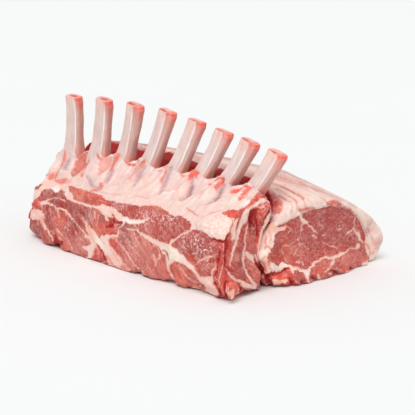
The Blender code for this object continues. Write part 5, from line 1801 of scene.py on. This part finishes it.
def makeFatCap(material):
    body = mergedNode("fat_cap")
    grow(body, capLook["sunk"])
    piece = pieceFrom("fatCap", [body])
    voxelSkin(piece, capLook)
    core = Vector(capLook["core"])

    def carvedEdge(spot, normal):
        return spot.x > 88 * mm and spot.z > 40 * mm and normal.yz.dot((spot - core).yz) > -4 * mm

    def carvedTop(spot, normal):
        return spot.x > 62 * mm and normal.z > -0.2 and (normal.x > 0.3 or normal.z > 0.3)

    soften(piece, carvedEdge, capLook["softenTurns"])
    refine(piece, carvedTop)
    points, normals = shapeOf(piece)
    x, y, z = points.T
    lowered = loweredCap(points)
    trueSpots, seen = carvedSpots(lowered, normals, loinLook["hidden"])
    spots = stirred(trueSpots, points, 17.0, *capLook["stir"])
    calm = 0.25 * spots + 0.75 * trueSpots
    mottling = 2.2 * lumps(points, 1.7 * mm, 85.0)
    drifts = longLumps(points, 0.3, 12 * mm, 61.0)
    farSide = ramp(*capLook["farSide"], y) * ramp(98 * mm, 60 * mm, x)
    rounded = ramp(60 * mm, 100 * mm, x) * ramp(20 * mm, -10 * mm, y)
    rim = ramp(96 * mm, 106 * mm, x) * ramp(14 * mm, 40 * mm, y)
    behind = ramp(76 * mm, 60 * mm, x) * ramp(12 * mm, -4 * mm, y)
    # The wall at the cleft is tinted raw red and painted with shade, kept as the shadow attribute
    inner = ramp(*capLook["cleftWall"], y + 2 * mm * lumps(points, 8 * mm, 63.0))
    inner = inner * ramp(104 * mm, 96 * mm, np.abs(x)) * ramp(61 * mm, 54 * mm, z)
    colours = painted(
        plainColour(points, "membrane"),
        ("cream", ramp(-0.3, 0.5, drifts) * 0.6),
        ("rind", 0.85 * farSide),
        ("cream", 0.5 * rounded),
        ("wax", 0.45 * rim * ramp(-0.1, 0.4, drifts)),
        ("rind", 0.6 * rim * ramp(0.2, -0.3, drifts)),
        ("skyline", 0.45 * behind),
        ("raw", 0.8 * inner),
    )
    bare = np.where((x > 60 * mm) & (y < 4 * mm), 1.0, seen)
    for outline, shade in capFlesh.values():
        reach = ramp(-1.4, 1.0, markDepth(calm, outline, True) + 0.35 * mottling)
        colours = tinted(colours, shade, 0.92 * reach * bare)
    colours, sink = dressed(colours, calm, seen * (x > 0), 0.2 * mottling, capDressing)
    across = y + 0.08 * x
    folds = np.sin(across / capLook["foldPitch"] + 2.4 * longLumps(points, 0.25, 14 * mm, 67.0))
    top = ramp(0.2, 0.6, normals[:, 2])
    gentle = ramp(110 * mm, 90 * mm, np.abs(x))
    move = capLook["fold"] * folds * top * (0.4 + 0.6 * gentle)
    move += 0.3 * mm * longLumps(points, 0.35, 5 * mm, 71.0) + 0.5 * mm * lumps(points, 18 * mm, 73.0)
    move += 0.8 * mm * farSide * longLumps(points, 0.4, 13 * mm, 75.0)
    move -= sink * capLook["markStep"]
    toCore = np.array(capLook["core"]) - points
    toCore[:, 0] = 0
    toCore /= np.linalg.norm(toCore, axis=1)[:, None]
    move += capLook["lap"] * ramp(0.2, 0.7, (normals * toCore).sum(1))
    place(piece, lowered + normals * move[:, None])
    keepColour(piece, "fatColour", colours)
    nearEnd = ramp(30 * mm, 80 * mm, x)
    keep(piece, "streaks", (0.25 + 0.75 * top * ramp(60 * mm, -10 * mm, y)) * (1 - 0.8 * nearEnd))
    cleft = markFields(spots, capMarks)[1] * seen
    keep(piece, "shadow", np.maximum(inner * 0.6, 0.96 * cleft))
    finishPiece(piece, material, "fat", "fat_cap")


# Studio
studioLook = {
    "floorSize": 60.0,  # metres
    "floorDrop": 0.3 * mm,
    "floorColours": [(0.89, 0.902, 0.902, 1), (0.905, 0.915, 0.915, 1)],
    "floorDrift": 3.0,  # how quickly the one changes to the other
    "floorRough": 0.8,
    "floorShine": 0.1,
    "skyLight": 0.62,
    "sunStrength": 1.6,
    "sunSpread": 44.0,  # degrees across
    "sunTurn": (24.0, 17.0, 0.0),
}


def makeFloor():
    bm = bmesh.new()
    bmesh.ops.create_grid(bm, x_segments=4, y_segments=4, size=studioLook["floorSize"] / 2)
    bmesh.ops.translate(bm, verts=bm.verts, vec=(0, 0, -studioLook["floorDrop"]))
    floor = pieceFrom("floor", [bm])
    material, tree, shader = startMaterial("paleFloor")
    drift = cloud(tree, plainPlace(tree), studioLook["floorDrift"])
    colour = blendColour(tree, drift, *studioLook["floorColours"])
    tree.links.new(colour, shader.inputs["Base Color"])
    shader.inputs["Roughness"].default_value = studioLook["floorRough"]
    shader.inputs["Specular IOR Level"].default_value = studioLook["floorShine"]
    floor.data.materials.append(material)


def makeLights():
    world = bpy.data.worlds.new("studio")
    world.use_nodes = True
    sky = world.node_tree.nodes["Background"]
    sky.inputs["Color"].default_value = (1.0, 1.0, 1.0, 1.0)
    sky.inputs["Strength"].default_value = studioLook["skyLight"]
    bpy.context.scene.world = world
    sun = bpy.data.lights.new("key", "SUN")
    sun.energy = studioLook["sunStrength"]
    sun.angle = math.radians(studioLook["sunSpread"])
    key = bpy.data.objects.new("key", sun)
    key.rotation_euler = Euler([math.radians(angle) for angle in studioLook["sunTurn"]])
    bpy.context.scene.collection.objects.link(key)


def makeCamera():
    lens = bpy.data.cameras.new("camera")
    lens.lens = photoView["focalLength"]
    lens.sensor_width = photoView["sensor"]
    lens.clip_end = photoView["sightEnd"]
    camera = bpy.data.objects.new("camera", lens)
    camera.location = photoView["place"]
    camera.rotation_euler = lookingAxes()[2].to_track_quat("-Z", "Y").to_euler()
    bpy.context.scene.collection.objects.link(camera)
    bpy.context.scene.camera = camera
    bpy.context.scene.view_settings.view_transform = "Standard"


makeCamera()
makeLights()
makeFloor()
print("studio ready")
bone = boneMaterial("bone", ribLook)
for ribName in ribNames:
    makeRib(ribName, bone)
makeRackMeat(meatMaterial("rackFlesh", rackLook))
makeLoinEye(meatMaterial("loinFlesh", loinLook))
makeFatCap(fatMaterial("capFat", capLook))
print("pieces ready")
